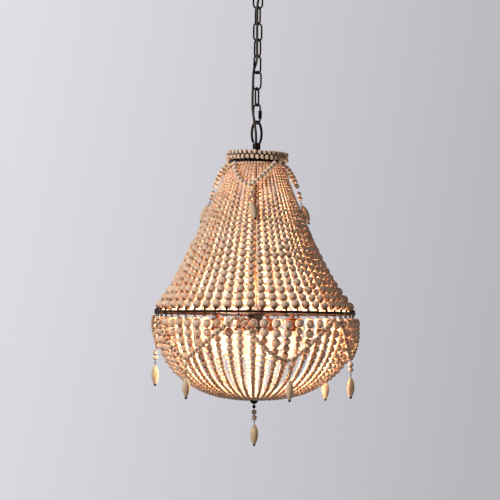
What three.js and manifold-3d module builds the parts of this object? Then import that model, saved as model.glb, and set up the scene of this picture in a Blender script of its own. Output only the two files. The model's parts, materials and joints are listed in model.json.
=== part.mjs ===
// A beaded chandelier that hangs from a ceiling on a chain: a canopy with its bracket, seven chain
// links and a quick link, an iron frame of two rings on a central stem, four lamps, strings of
// wooden beads that make a shade above the wide ring and a basket below it, and two beaded
// garlands with wooden drops. Millimetres, +Z up, front towards -Y.
// The origin is the centre of the mounting bracket's face, which lies against the ceiling.
import * as THREE from "three";
import { mergeVertices } from "three/addons/utils/BufferGeometryUtils.js";
import Module from "manifold-3d";

const wasm = await Module();
wasm.setup();

// Clearance between two pieces that touch, how far a cutting solid runs past what it cuts, and how
// close two corners must lie to be made one.
const clearance = 0.3;
const overrun = 5;
const weld = 1e-4;

// The fittings at the ceiling.
const bracket = { length: 90, width: 18, thickness: 2.5, nippleRadius: 5 };
const canopy = { radius: 60, height: 26, wall: 1.6, shoulder: 12 };
const collar = { radius: 8, bodyHeight: 14, bevel: 2.5, neckHeight: 6, neckRadius: 6 };
const loop = { halfWidth: 10.7, halfHeight: 24.5, footDepth: 18.7, wire: 5 };
const canopyLoopTurn = 90;
const fixtureLoopTurn = 25;

// The chain, from the ceiling down. A turn is a link's angle about the vertical, in degrees.
const link = { length: 40.3, width: 22, wire: 3.6 };
const linkTurns = [10, -60, 30, -50, 45, -35, 70];
const quickLink = { length: 43.6, width: 22, wire: 3.6, gap: 7, turn: -45 };
const nut = { length: 16, radius: 3.8, corners: 6, seatShare: 0.05 };

// The iron frame. Heights and depths are counted from the plane of the wide ring.
const wideRing = { radius: 198, rod: 5.5, spokeRod: 6, plateRadius: 14, plateThickness: 6 };
const crownBand = { radius: 51.2, wall: 3, height: 20.5, armWidth: 8, armThickness: 3 };
const crownPlateRadius = 9;
const shadeHeight = 321;
const basketDepth = 169;
const stemRadius = 5;
const hubCone = { topRadius: 6, footRadius: 20, height: 14.5 };
const hubBody = { radius: 16, footRadius: 9, height: 37, taper: 9 };
const lowerRodRadius = 2.5;
const bottomHub = { radius: 9, rimHeight: 3, neckRadius: 1.6, neckLength: 2, ballRadius: 3.5 };

// The lamps hang under the four spokes.
const lampTurns = [71, 161, 251, 341];
const lampSpread = 79;
const socket = { neckRadius: 4, neckLength: 6.5, capRadius: 13, capHeight: 6 };
const socketBody = { waistRadius: 11, waistHeight: 12, rimRadius: 15, rimHeight: 8, flare: 3 };
const bulb = { radius: 20, globeLength: 52, baseRadius: 7, baseLength: 19, shoulder: 14 };

// The strings of beads. A string is a graded tube, as thick as its beads, from end to end.
const sectorCount = 6;
const strandsPerSector = 9;
const firstStrandTurn = -2.6;
const tieWire = 2;
const beads = { seed: 6, tiny: 8, small: 10, medium: 12, large: 15, huge: 18 };
const shadeBend = { topOutShare: 0.324, topDownShare: 0.365, ringInShare: 0.354, ringUpShare: 0.19 };
const basketBend = { ringOutShare: 0.005, ringDownShare: 0.5, hubOutShare: 0.744, hubDownShare: 0.006 };

// Each row: the share of the string's length from its upper end, and the bead there.
const shadeGradeShares = [
  [0.03, beads.seed], [0.22, beads.small], [0.46, beads.medium], [0.72, beads.large],
  [0.94, beads.huge],
];
const basketGradeShares = [
  [0.05, beads.huge], [0.2, beads.huge], [0.36, beads.large], [0.54, beads.medium],
  [0.75, beads.small], [0.94, beads.seed],
];

// The crown rows and the garlands are strings of small beads. The rows and the upper garland are
// placed by their depth under the top of the crown, the lower garland by its depth under the ring.
const crownRow = { bead: 9.4, beadCount: 38, pitch: 10.8, upperDepth: 2.4 };
const garlandBead = 10;
const pinchShare = 0.5;
const upperGarland = { tieDepth: 26, lowDepth: 75, nestShare: 0.1, swagShare: 1.15 };
const lowerGarland = { tieDepth: 9, lowDepth: 82, nestShare: 0.07, swagShare: 1.45 };

// The swags of each garland, from the front round to the right: the turns where they are tied up,
// the turns of their low points and the shares of the usual depth that they have there.
const upperTieTurns = [-45, 40, 135, 225];
const upperLowTurns = [-4, 90, 180, 270];
const upperSagShares = [1, 1, 1, 1];
const lowerTieTurns = [-8.5, 49, 104, 165, 231, 293];
const lowerLowTurns = [20.5, 81, 129, 200, 260.5, 317];
const lowerSagShares = [1.06, 1.02, 1.115, 0.97, 0.79, 1.03];

// The drops: two beads and a spindle on one eye pin, which is bare for a gap between them.
const pin = { radius: 0.9, neck: 1.6, tip: 1.2 };
const spindleFullness = 0.75;
const spindleFootShare = 0.7;
const lowerDrop = { bead: 10, gap: 9, length: 42, radius: 7 };
const upperDrop = { bead: 9.4, gap: 9, length: 41, radius: 7 };
const slopeHang = { downShare: 0.46, outShare: 0.07 };
const bottomDrop = { bead: 11, gap: 7, length: 43, radius: 7.75 };

// The supply cord runs down beside the chain. Its route is chosen point by point.
const cordDiameter = 5;
const upperCordRoute = [
  [0, 0, -46.6], [0.6, 0, -56], [4.2, -0.4, -65], [6, -1.6, -75], [5.8, -4.6, -86], [3.2, -7.2, -97],
  [0.4, -8, -108], [-1.2, -7.9, -120], [-1.3, -7.8, -140], [-1.2, -7.7, -158], [-1.2, -7.7, -176],
  [-1.1, -7.7, -194], [-0.9, -7.7, -208], [-0.85, -7.7, -217],
];
const lowerCordRoute = [
  [-0.85, -7.7, -217.4], [-0.85, -7.4, -221], [-1, -6.2, -225], [-1.8, -4.7, -230],
  [-3, -3, -235], [-4.9, -1.4, -240], [-6.8, -0.7, -246], [-7.8, -0.8, -256], [-8.2, -1.3, -268],
  [-8.5, -1.8, -282], [-8.9, -2.2, -296], [-9, -2.8, -310], [-8.6, -4.4, -324], [-7, -7, -338],
  [-5, -8.6, -350], [-3.4, -6.8, -361], [-2, -3, -371], [-1.2, -0.8, -380], [-1, 0, -387],
  [-1, 0, -393.4],
];

// The finishes.
const finish = (color, roughness, metalness) => ({ color, roughness, metalness });
const blackIron = finish(0x1d1a18, 0.55, 0.8);
const paleWood = finish(0xdcc6a8, 0.7, 0);
const dropWood = finish(0xd8b48a, 0.6, 0);
const cordCloth = finish(0x33241b, 0.85, 0);
const lampGlass = finish(0xfff1d6, 0.3, 0);

// Derived heights, from the ceiling down.
const collarHeight = collar.bodyHeight + collar.neckHeight;
const loopLow = loop.footDepth + loop.halfHeight;
const canopyCollarTop = -canopy.height - clearance;
const canopyLoopFoot = canopyCollarTop - collarHeight - clearance;
const canopyLoopEnd = canopyLoopFoot - loopLow;
const firstLinkTop = canopyLoopEnd + (loop.wire + link.wire) / 2 + clearance;
const linkDrop = link.length - link.wire;
const linkPitch = linkDrop - link.wire - clearance;
const lastLinkBottom = firstLinkTop - linkPitch * (linkTurns.length - 1) - linkDrop;
const quickTop = lastLinkBottom + (link.wire + quickLink.wire) / 2 + clearance;
const quickBottom = quickTop - (quickLink.length - quickLink.wire);
const fixtureLoopTop = quickBottom + (quickLink.wire + loop.wire) / 2 + clearance;
const fixtureLoopFoot = fixtureLoopTop - loopLow;
const fixtureCollarTop = fixtureLoopFoot - clearance;
const ringPlane = fixtureCollarTop - collarHeight - clearance - shadeHeight;

const radians = THREE.MathUtils.degToRad;
// A turn of 0 faces the front, -Y, and a turn of 90 faces +X.
const facing = (turn) => radians(turn - 90);
const strandCount = sectorCount * strandsPerSector;
const strandStep = 360 / strandCount;

// Solids and geometries.
function solidOf(geometry) {
  const bare = geometry.index ? geometry.toNonIndexed() : geometry.clone();
  bare.deleteAttribute("normal");
  bare.deleteAttribute("uv");
  const merged = mergeVertices(bare, weld);
  return new wasm.Manifold(new wasm.Mesh({
    numProp: 3,
    vertProperties: new Float32Array(merged.attributes.position.array),
    triVerts: new Uint32Array(merged.index.array),
  }));
}

function geometryOf(solid) {
  const mesh = solid.getMesh();
  const geometry = new THREE.BufferGeometry();
  geometry.setAttribute("position", new THREE.BufferAttribute(mesh.vertProperties, 3));
  geometry.setIndex(new THREE.BufferAttribute(mesh.triVerts, 1));
  geometry.computeVertexNormals();
  return geometry;
}

const joined = (geometries) => geometryOf(geometries.map(solidOf).reduce((a, b) => a.add(b)));
const cut = (geometry, tool) => geometryOf(solidOf(geometry).subtract(solidOf(tool)));

// A turned solid about the Z axis. Its outline is a list of [radius, height], from the bottom up.
function turned(outline, sides) {
  const profile = outline.map(([radius, height]) => new THREE.Vector2(radius, height));
  return new THREE.LatheGeometry(profile, sides).rotateX(Math.PI / 2);
}

// Points of an arc in an outline, from one angle to another, in degrees.
function arcOutline(centre, radius, from, to, steps) {
  return Array.from({ length: steps + 1 }, (_, i) => {
    const angle = radians(from + ((to - from) * i) / steps);
    return [radius * Math.cos(angle), centre + radius * Math.sin(angle)];
  });
}

// Bends a solid that stands on Z = 0 along a curve: its Z becomes the way along the curve, and its
// X points away from the part's vertical axis.
function bentAlong(geometry, curve) {
  const length = curve.getLength();
  const place = geometry.attributes.position;
  for (let i = 0; i < place.count; i++) {
    const share = THREE.MathUtils.clamp(place.getZ(i) / length, 0, 1);
    const at = curve.getPointAt(share);
    const along = curve.getTangentAt(share);
    const outward = new THREE.Vector3(at.x, at.y, 0);
    outward.addScaledVector(along, -outward.dot(along)).normalize();
    const sideways = new THREE.Vector3().crossVectors(along, outward);
    at.addScaledVector(outward, place.getX(i)).addScaledVector(sideways, place.getY(i));
    place.setXYZ(i, at.x, at.y, at.z);
  }
  return geometry;
}

// A round rod bent along a curve, with flat ends.
function bentRod(curve, radius, steps, sides) {
  const length = curve.getLength();
  const wall = Array.from({ length: steps + 1 }, (_, i) => [radius, (length * i) / steps]);
  return bentAlong(turned([[0, 0], ...wall, [0, length]], sides), curve);
}

// A closed string of beads along a closed curve, each bead a short double cone of four sides, with
// one corner pointing down.
function beadRing(curve, bead, count) {
  const steps = 2 * count;
  const sides = 4;
  const geometry = new THREE.TubeGeometry(curve, steps, bead / 2, sides, true);
  const place = geometry.attributes.position;
  for (let ring = 0; ring <= steps; ring++) {
    const centre = curve.getPointAt((ring % steps) / steps);
    const along = curve.getTangentAt((ring % steps) / steps);
    const aside = new THREE.Vector3(along.y, -along.x, 0).normalize();
    const above = new THREE.Vector3().crossVectors(aside, along);
    const radius = (bead / 2) * (ring % 2 ? pinchShare : 1);
    for (let side = 0; side <= sides; side++) {
      const angle = (2 * Math.PI * (side % sides)) / sides;
      const corner = centre.clone()
        .addScaledVector(above, -radius * Math.cos(angle))
        .addScaledVector(aside, radius * Math.sin(angle));
      place.setXYZ(ring * (sides + 1) + side, ...corner);
    }
  }
  return geometry;
}

const model = new THREE.Group();
const ceilingFittings = new THREE.Group();
const chain = new THREE.Group();
const fixture = new THREE.Group();
fixture.position.z = ringPlane;
model.add(ceilingFittings, chain, fixture);

function addPiece(group, name, geometry, look, { height = 0, turn = 0 } = {}) {
  const mesh = new THREE.Mesh(geometry, new THREE.MeshStandardMaterial(look));
  mesh.name = name;
  mesh.position.z = height;
  mesh.rotation.z = radians(turn);
  group.add(mesh);
  return mesh;
}

// The mounting bracket: a flat bar screwed to the ceiling, with a threaded nipple in its middle.
function bracketGeometry() {
  const bar = new THREE.BoxGeometry(bracket.length, bracket.width, bracket.thickness);
  bar.translate(0, 0, -bracket.thickness / 2);
  const nippleTop = -bracket.thickness / 2;
  const nipple = turned([
    [0, -canopy.height], [bracket.nippleRadius, -canopy.height],
    [bracket.nippleRadius, nippleTop], [0, nippleTop],
  ], 16);
  return joined([bar, nipple]);
}

// The canopy: a thin round shell, open to the ceiling, with a hole for the nipple.
function canopyGeometry() {
  const hole = bracket.nippleRadius + clearance;
  const bend = canopy.shoulder;
  const flat = canopy.radius - bend;
  const shell = (inset) => arcOutline(0, bend - inset, -90, 0, 3).map(([out, up]) => [
    flat + out, bend - canopy.height + up,
  ]);
  const outer = shell(0);
  const inner = shell(canopy.wall).reverse();
  const outline = [
    [hole, -canopy.height], ...outer, [canopy.radius, 0], [canopy.radius - canopy.wall, 0],
    ...inner, [hole, canopy.wall - canopy.height], [hole, -canopy.height],
  ];
  return turned(outline, 32);
}

// A collar nut, its neck at the bottom and its wide body above.
function collarGeometry() {
  return turned([
    [0, 0], [collar.neckRadius, 0], [collar.neckRadius, collar.neckHeight],
    [collar.radius, collar.neckHeight + collar.bevel],
    [collar.radius, collarHeight - collar.bevel],
    [collar.radius - collar.bevel / 2, collarHeight], [0, collarHeight],
  ], 16);
}

// An oval loop of rod that stands on Z = 0, its feet cut off level.
function loopGeometry() {
  class Oval extends THREE.Curve {
    getPoint(share, target = new THREE.Vector3()) {
      const angle = share * 2 * Math.PI;
      const up = loop.footDepth + loop.halfHeight * Math.sin(angle);
      return target.set(loop.halfWidth * Math.cos(angle), 0, up);
    }

    getUtoTmapping(share) {
      return share;
    }
  }
  const oval = new THREE.TubeGeometry(new Oval(), 24, loop.wire / 2, 6, true);
  const side = 2 * (loop.halfWidth + loop.wire + overrun);
  const below = new THREE.BoxGeometry(side, side, side).translate(0, 0, -side / 2);
  return cut(oval, below);
}

// The curve of a chain link: two half circles joined by straight legs, its top at Z = 0. The way
// round starts half way up the leg on the +X side and goes up, and the bends take most of it.
const bendShare = 0.4;
const legShare = 0.5 - bendShare;

class LinkCurve extends THREE.Curve {
  constructor(length, width, wire) {
    super();
    this.bend = (width - wire) / 2;
    this.straight = length - wire - 2 * this.bend;
  }

  getPoint(share, target = new THREE.Vector3()) {
    const { bend, straight } = this;
    const leg = Math.floor(2 * share + 0.5);
    const side = leg % 2 ? -1 : 1;
    const fromLeg = share - leg / 2;
    const middle = -bend - straight / 2;
    if (Math.abs(fromLeg) <= legShare / 2) {
      return target.set(side * bend, 0, middle + (side * fromLeg * straight) / legShare);
    }
    const end = side * Math.sign(fromLeg);
    const angle = ((Math.abs(fromLeg) - legShare / 2) / bendShare) * Math.PI;
    return target.set(
      side * bend * Math.cos(angle), 0, middle + end * (straight / 2 + bend * Math.sin(angle)));
  }

  getUtoTmapping(share) {
    return share;
  }
}

function linkGeometry({ length, width, wire }) {
  return new THREE.TubeGeometry(new LinkCurve(length, width, wire), 20, wire / 2, 6, true);
}

// The quick link is a link whose leg has a gap, which the nut bridges.
const quickBend = (quickLink.width - quickLink.wire) / 2;
const quickStraight = quickLink.length - quickLink.width;
const nutBottom = -quickBend - quickStraight + quickStraight * nut.seatShare - nut.length * nut.seatShare;
const gapMiddle = nutBottom + nut.length / 2;

function quickLinkGeometry() {
  const side = 2 * (quickLink.wire + clearance);
  const gap = new THREE.BoxGeometry(side, side, quickLink.gap).translate(quickBend, 0, gapMiddle);
  return cut(linkGeometry(quickLink), gap);
}

function nutGeometry() {
  const bore = quickLink.wire / 2 + clearance;
  return turned([
    [bore, 0], [nut.radius, 0], [nut.radius, nut.length], [bore, nut.length], [bore, 0],
  ], nut.corners);
}

// The crown: a band with a cross of flat arms at its top, and a plate where the stem is screwed.
function crownGeometry() {
  const outer = crownBand.radius + crownBand.wall / 2;
  const inner = crownBand.radius - crownBand.wall / 2;
  const bottom = -crownBand.height;
  const band = turned([
    [inner, bottom], [outer, bottom], [outer, 0], [inner, 0], [inner, bottom],
  ], 36);
  const plate = turned([
    [0, -crownBand.armThickness], [crownPlateRadius, -crownBand.armThickness],
    [crownPlateRadius, 0], [0, 0],
  ], 16);
  const reach = 2 * crownBand.radius;
  const arms = [lampTurns[0], lampTurns[1]].map((turn) =>
    new THREE.BoxGeometry(reach, crownBand.armWidth, crownBand.armThickness)
      .translate(0, 0, -crownBand.armThickness / 2)
      .rotateZ(facing(turn)));
  return joined([band, plate, ...arms]);
}

// The wide ring, with four spokes to a round plate that the two hubs clamp.
function wideRingGeometry() {
  const ring = new THREE.TorusGeometry(wideRing.radius, wideRing.rod / 2, 6, 54);
  const half = wideRing.plateThickness / 2;
  const plate = turned([
    [0, -half], [wideRing.plateRadius, -half], [wideRing.plateRadius, half], [0, half],
  ], 20);
  const spokes = lampTurns.map((turn) =>
    new THREE.CylinderGeometry(wideRing.spokeRod / 2, wideRing.spokeRod / 2, wideRing.radius, 6)
      .rotateZ(Math.PI / 2)
      .translate(wideRing.radius / 2, 0, 0)
      .rotateZ(facing(turn)));
  return joined([ring, plate, ...spokes]);
}

function rodGeometry(radius, from, to, sides) {
  return turned([[0, from], [radius, from], [radius, to], [0, to]], sides);
}

// The hemispherical hub under the basket, with the ball that the bottom drop hangs from.
const bottomHubTop = -basketDepth;
const bowlTop = bottomHubTop - bottomHub.rimHeight;
const ballTop = bowlTop - bottomHub.radius - bottomHub.neckLength;
const ballCentre = ballTop - bottomHub.ballRadius;
const bottomHubEnd = ballCentre - bottomHub.ballRadius;

function bottomHubGeometry() {
  const neck = THREE.MathUtils.radToDeg(Math.acos(bottomHub.neckRadius / bottomHub.ballRadius));
  const join = THREE.MathUtils.radToDeg(Math.acos(bottomHub.neckRadius / bottomHub.radius));
  return turned([
    [0, bottomHubEnd], ...arcOutline(ballCentre, bottomHub.ballRadius, -65, neck, 4),
    ...arcOutline(bowlTop, bottomHub.radius, -join, 0, 5),
    [bottomHub.radius, bottomHubTop], [0, bottomHubTop],
  ], 12);
}

// A lamp socket: neck, cap, waist and rim, bored from below for the lamp's base.
const socketTop = -wideRing.spokeRod / 2 - clearance;
const socketCapTop = socketTop - socket.neckLength;
const socketWaistTop = socketCapTop - socket.capHeight;
const socketRimTop = socketWaistTop - socketBody.waistHeight;
const socketBottom = socketRimTop - socketBody.rimHeight;

function socketGeometry() {
  const bore = bulb.baseRadius + clearance;
  const boreTop = socketBottom + bulb.baseLength;
  return turned([
    [0, boreTop], [bore, boreTop], [bore, socketBottom], [socketBody.rimRadius, socketBottom],
    [socketBody.rimRadius, socketRimTop - socketBody.flare], [socketBody.waistRadius, socketRimTop],
    [socketBody.waistRadius, socketWaistTop], [socket.capRadius, socketWaistTop],
    [socket.capRadius, socketCapTop], [socket.neckRadius, socketCapTop],
    [socket.neckRadius, socketTop], [0, socketTop],
  ], 12);
}

// A small globe lamp, its base up in the socket.
function bulbGeometry() {
  const baseTop = socketBottom + bulb.baseLength - clearance;
  const globeBottom = socketBottom - bulb.globeLength;
  const centre = globeBottom + bulb.radius;
  const shoulderTop = socketBottom - clearance;
  const shoulderFoot = shoulderTop - bulb.shoulder;
  const rise = Math.min((shoulderFoot - centre) / bulb.radius, 1);
  const top = THREE.MathUtils.radToDeg(Math.asin(Math.max(rise, 0)));
  return turned([
    [0, globeBottom], ...arcOutline(centre, bulb.radius, -70, top, 5),
    [bulb.baseRadius, shoulderTop], [bulb.baseRadius, baseTop], [0, baseTop],
  ], 12);
}

// The strings. Each family has a curve in the XZ plane, its grade of beads, and its two ties.
const crownBottom = shadeHeight - crownBand.height;
const ringTieOffset = wideRing.rod / 2 + clearance + tieWire / 2;
const hubTieRadius = bottomHub.radius + clearance;

function stringFamily(start, end, startPull, endPull, gradeShares, tieHeight) {
  const point = ([radius, height]) => new THREE.Vector3(radius, 0, height);
  const curve = new THREE.CubicBezierCurve3(
    point(start), point(startPull), point(endPull), point(end));
  curve.arcLengthDivisions = 400;
  return { curve, length: curve.getLength(), gradeShares, tieHeight };
}

const shadeTop = [crownBand.radius, crownBottom - clearance];
const shadeFoot = [wideRing.radius, ringTieOffset];
const shadeSpread = shadeFoot[0] - shadeTop[0];
const shadeDrop = shadeTop[1] - shadeFoot[1];
const shadeStart = [
  shadeTop[0] + shadeSpread * shadeBend.topOutShare,
  shadeTop[1] - shadeDrop * shadeBend.topDownShare,
];
const shadeEnd = [
  shadeFoot[0] - shadeSpread * shadeBend.ringInShare,
  shadeFoot[1] + shadeDrop * shadeBend.ringUpShare,
];
const shade = stringFamily(
  shadeTop, shadeFoot, shadeStart, shadeEnd, shadeGradeShares, ringTieOffset);
const basketTop = [wideRing.radius, -ringTieOffset];
const basketFoot = [hubTieRadius, bottomHubTop - bottomHub.rimHeight / 2];
const basketSpread = basketTop[0] - basketFoot[0];
const basketDrop = basketTop[1] - basketFoot[1];
const basketStart = [
  basketTop[0] + basketSpread * basketBend.ringOutShare,
  basketTop[1] - basketDrop * basketBend.ringDownShare,
];
const basketEnd = [
  basketFoot[0] + basketSpread * basketBend.hubOutShare,
  basketFoot[1] - basketDrop * basketBend.hubDownShare,
];
const basket = stringFamily(
  basketTop, basketFoot, basketStart, basketEnd, basketGradeShares, -ringTieOffset);

// The radius of a string at a share of its length: that of its bead, or less where the strings
// crowd together.
function stringRadius(family, share) {
  const rows = family.gradeShares;
  const after = rows.findIndex(([at]) => at >= share);
  let wanted = rows.at(-1)[1] / 2;
  if (after === 0) wanted = rows[0][1] / 2;
  if (after > 0) {
    const [from, lower] = rows[after - 1];
    const [to, upper] = rows[after];
    wanted = THREE.MathUtils.mapLinear(share, from, to, lower / 2, upper / 2);
  }
  const room = family.curve.getPointAt(share).x * Math.sin(radians(strandStep / 2));
  return Math.min(wanted, room - clearance / 2);
}

function strandGeometry(family) {
  const wall = family.gradeShares.map(([share]) => [
    stringRadius(family, share), share * family.length,
  ]);
  return bentAlong(turned([[0, 0], ...wall, [0, family.length]], 4), family.curve);
}

// One sector: nine strings and the wire that ties them to the wide ring.
function sectorGeometry(family) {
  const turns = Array.from({ length: strandsPerSector }, (_, i) => i * strandStep);
  const strings = turns.map((turn) => strandGeometry(family).rotateZ(radians(turn)));
  const inset = radians(strandStep / 2) - clearance / 2 / wideRing.radius;
  const from = -inset;
  const to = radians(turns.at(-1)) + inset;
  class Arc extends THREE.Curve {
    getPoint(share, target = new THREE.Vector3()) {
      const angle = from + (to - from) * share;
      const reach = wideRing.radius;
      return target.set(reach * Math.cos(angle), reach * Math.sin(angle), family.tieHeight);
    }
  }
  return joined([...strings, bentRod(new Arc(), tieWire / 2, strandsPerSector, 3)]);
}

// The place on a family of strings at a height, and a point that stands off from its beads.
function standOff(family, height, distance) {
  let low = 0;
  let high = 1;
  for (let i = 0; i < 40; i++) {
    const middle = (low + high) / 2;
    if (family.curve.getPointAt(middle).z > height) low = middle;
    else high = middle;
  }
  const share = (low + high) / 2;
  const at = family.curve.getPointAt(share);
  const along = family.curve.getTangentAt(share);
  const reach = stringRadius(family, share) + distance;
  return { radius: at.x - along.z * reach, height: at.z + along.x * reach, along };
}

// How far a garland's centre stands off the strings: its beads sink a little between them.
const garlandReach = (garland) => garlandBead * (0.5 - garland.nestShare) + clearance;

// A garland: one closed string of beads that lies on the strings in swags. Each half swag holds the
// same number of beads, so that there is one at each low point.
function garlandGeometry(family, garland, tieTurns, lowTurns, sagShares) {
  const steps = 12;
  const points = lowTurns.flatMap((lowTurn, swag) => {
    const tieTurn = tieTurns[swag];
    const nextTie = tieTurns[swag + 1] ?? tieTurns[0] + 360;
    const low = garland.low * sagShares[swag];
    return Array.from({ length: 2 * steps }, (_, i) => {
      const aside = i / steps - 1;
      const height = low + (garland.tie - low) * Math.abs(aside) ** garland.swagShare;
      const place = standOff(family, height, garlandReach(garland));
      const span = aside < 0 ? lowTurn - tieTurn : nextTie - lowTurn;
      const angle = facing(lowTurn + span * aside);
      return new THREE.Vector3(
        place.radius * Math.cos(angle), place.radius * Math.sin(angle), place.height);
    });
  });
  const curve = new THREE.CatmullRomCurve3(points, true);
  curve.getUtoTmapping = (share) => share;
  const halfSwags = 2 * lowTurns.length;
  const beadsInHalf = Math.round(curve.getLength() / garlandBead / halfSwags);
  return beadRing(curve, garlandBead, halfSwags * beadsInHalf);
}

// A drop hangs down from Z = 0 on its pin: neck, two beads, bare pin, spindle, tip.
function dropGeometry({ bead, gap, length, radius }) {
  const sphere = (centre) => {
    const open = THREE.MathUtils.radToDeg(Math.acos(pin.radius / (bead / 2)));
    return arcOutline(centre, bead / 2, -open, open, 2);
  };
  const upperBead = -pin.neck - bead / 2;
  const lowerBead = upperBead - bead;
  const spindleTop = lowerBead - bead / 2 - gap;
  const spindleBottom = spindleTop - length;
  const spindleSteps = 5;
  const spindle = Array.from({ length: spindleSteps - 1 }, (_, i) => {
    const share = (i + 1) / spindleSteps;
    const reach = radius * Math.sin(Math.PI * share) ** spindleFullness;
    return [reach, spindleBottom + length * share];
  });
  return turned([
    [0, spindleBottom - pin.tip], [pin.radius, spindleBottom - pin.tip], [pin.radius, spindleBottom],
    ...spindle, [pin.radius, spindleTop],
    ...sphere(lowerBead), ...sphere(upperBead), [pin.radius, 0], [0, 0],
  ], 6);
}

// Where a drop can rest on the strings: its lower bead, its belly and the foot of its spindle, each
// with its depth under the pivot and its radius.
function restingPoints({ bead, gap, length, radius }) {
  const spindleDepth = pin.neck + 2 * bead + gap;
  return [
    [pin.neck + 1.5 * bead, bead / 2],
    [spindleDepth + length / 2, radius],
    [spindleDepth + length * spindleFootShare, radius],
  ];
}

// The pieces at the ceiling.
addPiece(ceilingFittings, "mounting_bracket", bracketGeometry(), blackIron);
addPiece(ceilingFittings, "canopy_shell", canopyGeometry(), blackIron);
const canopyCollar = addPiece(ceilingFittings, "canopy_collar", collarGeometry(), blackIron);
canopyCollar.position.z = canopyCollarTop;
canopyCollar.rotation.x = Math.PI;
const canopyLoop = addPiece(ceilingFittings, "canopy_loop", loopGeometry(), blackIron);
canopyLoop.position.z = canopyLoopFoot;
canopyLoop.rotation.set(Math.PI, 0, radians(canopyLoopTurn));

// The chain.
linkTurns.forEach((turn, i) => {
  const height = firstLinkTop - linkPitch * i;
  addPiece(chain, `chain_link_${i + 1}`, linkGeometry(link), blackIron, { height, turn });
});
const quick = { height: quickTop, turn: quickLink.turn };
addPiece(chain, "quick_link", quickLinkGeometry(), blackIron, quick);
const nutPlaced = nutGeometry().translate(quickBend, 0, nutBottom);
addPiece(chain, "quick_link_nut", nutPlaced, blackIron, quick);

// The supply cord.
function cordGeometry(route) {
  const curve = new THREE.CatmullRomCurve3(route.map((point) => new THREE.Vector3(...point)));
  const section = new THREE.Shape();
  for (let i = 0; i < 8; i++) {
    const angle = radians(45 * i + 22.5);
    const corner = [(cordDiameter / 2) * Math.cos(angle), (cordDiameter / 2) * Math.sin(angle)];
    if (i === 0) section.moveTo(...corner);
    else section.lineTo(...corner);
  }
  section.closePath();
  const steps = Math.round(curve.getLength() / (cordDiameter * 2));
  return new THREE.ExtrudeGeometry(section, { steps, extrudePath: curve, bevelEnabled: false });
}
addPiece(chain, "supply_cord_upper", cordGeometry(upperCordRoute), cordCloth);
addPiece(chain, "supply_cord_lower", cordGeometry(lowerCordRoute), cordCloth);

// The frame of the fixture, from its loop down to the bottom hub.
const collarBase = shadeHeight + clearance;
addPiece(fixture, "fixture_loop", loopGeometry(), blackIron, {
  height: collarBase + collarHeight + clearance, turn: fixtureLoopTurn,
});
addPiece(fixture, "fixture_collar", collarGeometry(), blackIron, { height: collarBase });
addPiece(fixture, "crown_band", crownGeometry(), blackIron, { height: shadeHeight });
const plateHalf = wideRing.plateThickness / 2;
const coneTop = plateHalf + clearance + hubCone.height;
const stemTop = shadeHeight - crownBand.armThickness - clearance;
const stem = rodGeometry(stemRadius, coneTop + clearance, stemTop, 12);
addPiece(fixture, "central_stem", stem, blackIron);
const cone = turned([
  [0, plateHalf + clearance], [hubCone.footRadius, plateHalf + clearance],
  [hubCone.topRadius, coneTop], [0, coneTop],
], 20);
addPiece(fixture, "hub_cone", cone, blackIron);
addPiece(fixture, "wide_ring", wideRingGeometry(), blackIron);
const hubTop = -plateHalf - clearance;
const hubBottom = hubTop - hubBody.height;
const hub = turned([
  [0, hubBottom], [hubBody.footRadius, hubBottom], [hubBody.radius, hubBottom + hubBody.taper],
  [hubBody.radius, hubTop], [0, hubTop],
], 20);
addPiece(fixture, "hub_body", hub, blackIron);
const lowerRod = rodGeometry(lowerRodRadius, bottomHubTop + clearance, hubBottom - clearance, 8);
addPiece(fixture, "lower_rod", lowerRod, blackIron);
addPiece(fixture, "bottom_hub", bottomHubGeometry(), blackIron);

// The lamps, one under each spoke.
lampTurns.forEach((turn, i) => {
  const angle = facing(turn);
  const place = [lampSpread * Math.cos(angle), lampSpread * Math.sin(angle), 0];
  addPiece(fixture, `socket_${i + 1}`, socketGeometry(), blackIron).position.set(...place);
  addPiece(fixture, `bulb_${i + 1}`, bulbGeometry(), lampGlass).position.set(...place);
});

// The strings of the shade and of the basket.
for (let i = 0; i < sectorCount; i++) {
  const turn = firstStrandTurn + i * strandsPerSector * strandStep - 90;
  addPiece(fixture, `shade_strings_${i + 1}`, sectorGeometry(shade), paleWood, { turn });
  addPiece(fixture, `basket_strings_${i + 1}`, sectorGeometry(basket), paleWood, { turn });
}

// The crown rows lie round the band.
const rowRadius = crownBand.radius + crownBand.wall / 2 + clearance + crownRow.bead / 2;
class RowCircle extends THREE.Curve {
  getPoint(share, target = new THREE.Vector3()) {
    const angle = 2 * Math.PI * share;
    return target.set(rowRadius * Math.cos(angle), rowRadius * Math.sin(angle), 0);
  }
}
const rowGeometry = () => beadRing(new RowCircle(), crownRow.bead, crownRow.beadCount);
const upperRowHeight = shadeHeight - crownRow.upperDepth;
const lowerRowHeight = upperRowHeight - crownRow.pitch;
addPiece(fixture, "crown_row_lower", rowGeometry(), paleWood, { height: lowerRowHeight });
addPiece(fixture, "crown_row_upper", rowGeometry(), paleWood, { height: upperRowHeight });

// The garlands and their drops.
const heights = (garland, top) => ({
  ...garland, tie: top - garland.tieDepth, low: top - garland.lowDepth,
});
const upperSwags = heights(upperGarland, shadeHeight);
const lowerSwags = heights(lowerGarland, 0);
const upperBeads = garlandGeometry(
  shade, upperSwags, upperTieTurns, upperLowTurns, upperSagShares);
const lowerBeads = garlandGeometry(
  basket, lowerSwags, lowerTieTurns, lowerLowTurns, lowerSagShares);
addPiece(fixture, "upper_garland", upperBeads, paleWood);
addPiece(fixture, "lower_garland", lowerBeads, paleWood);

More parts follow.
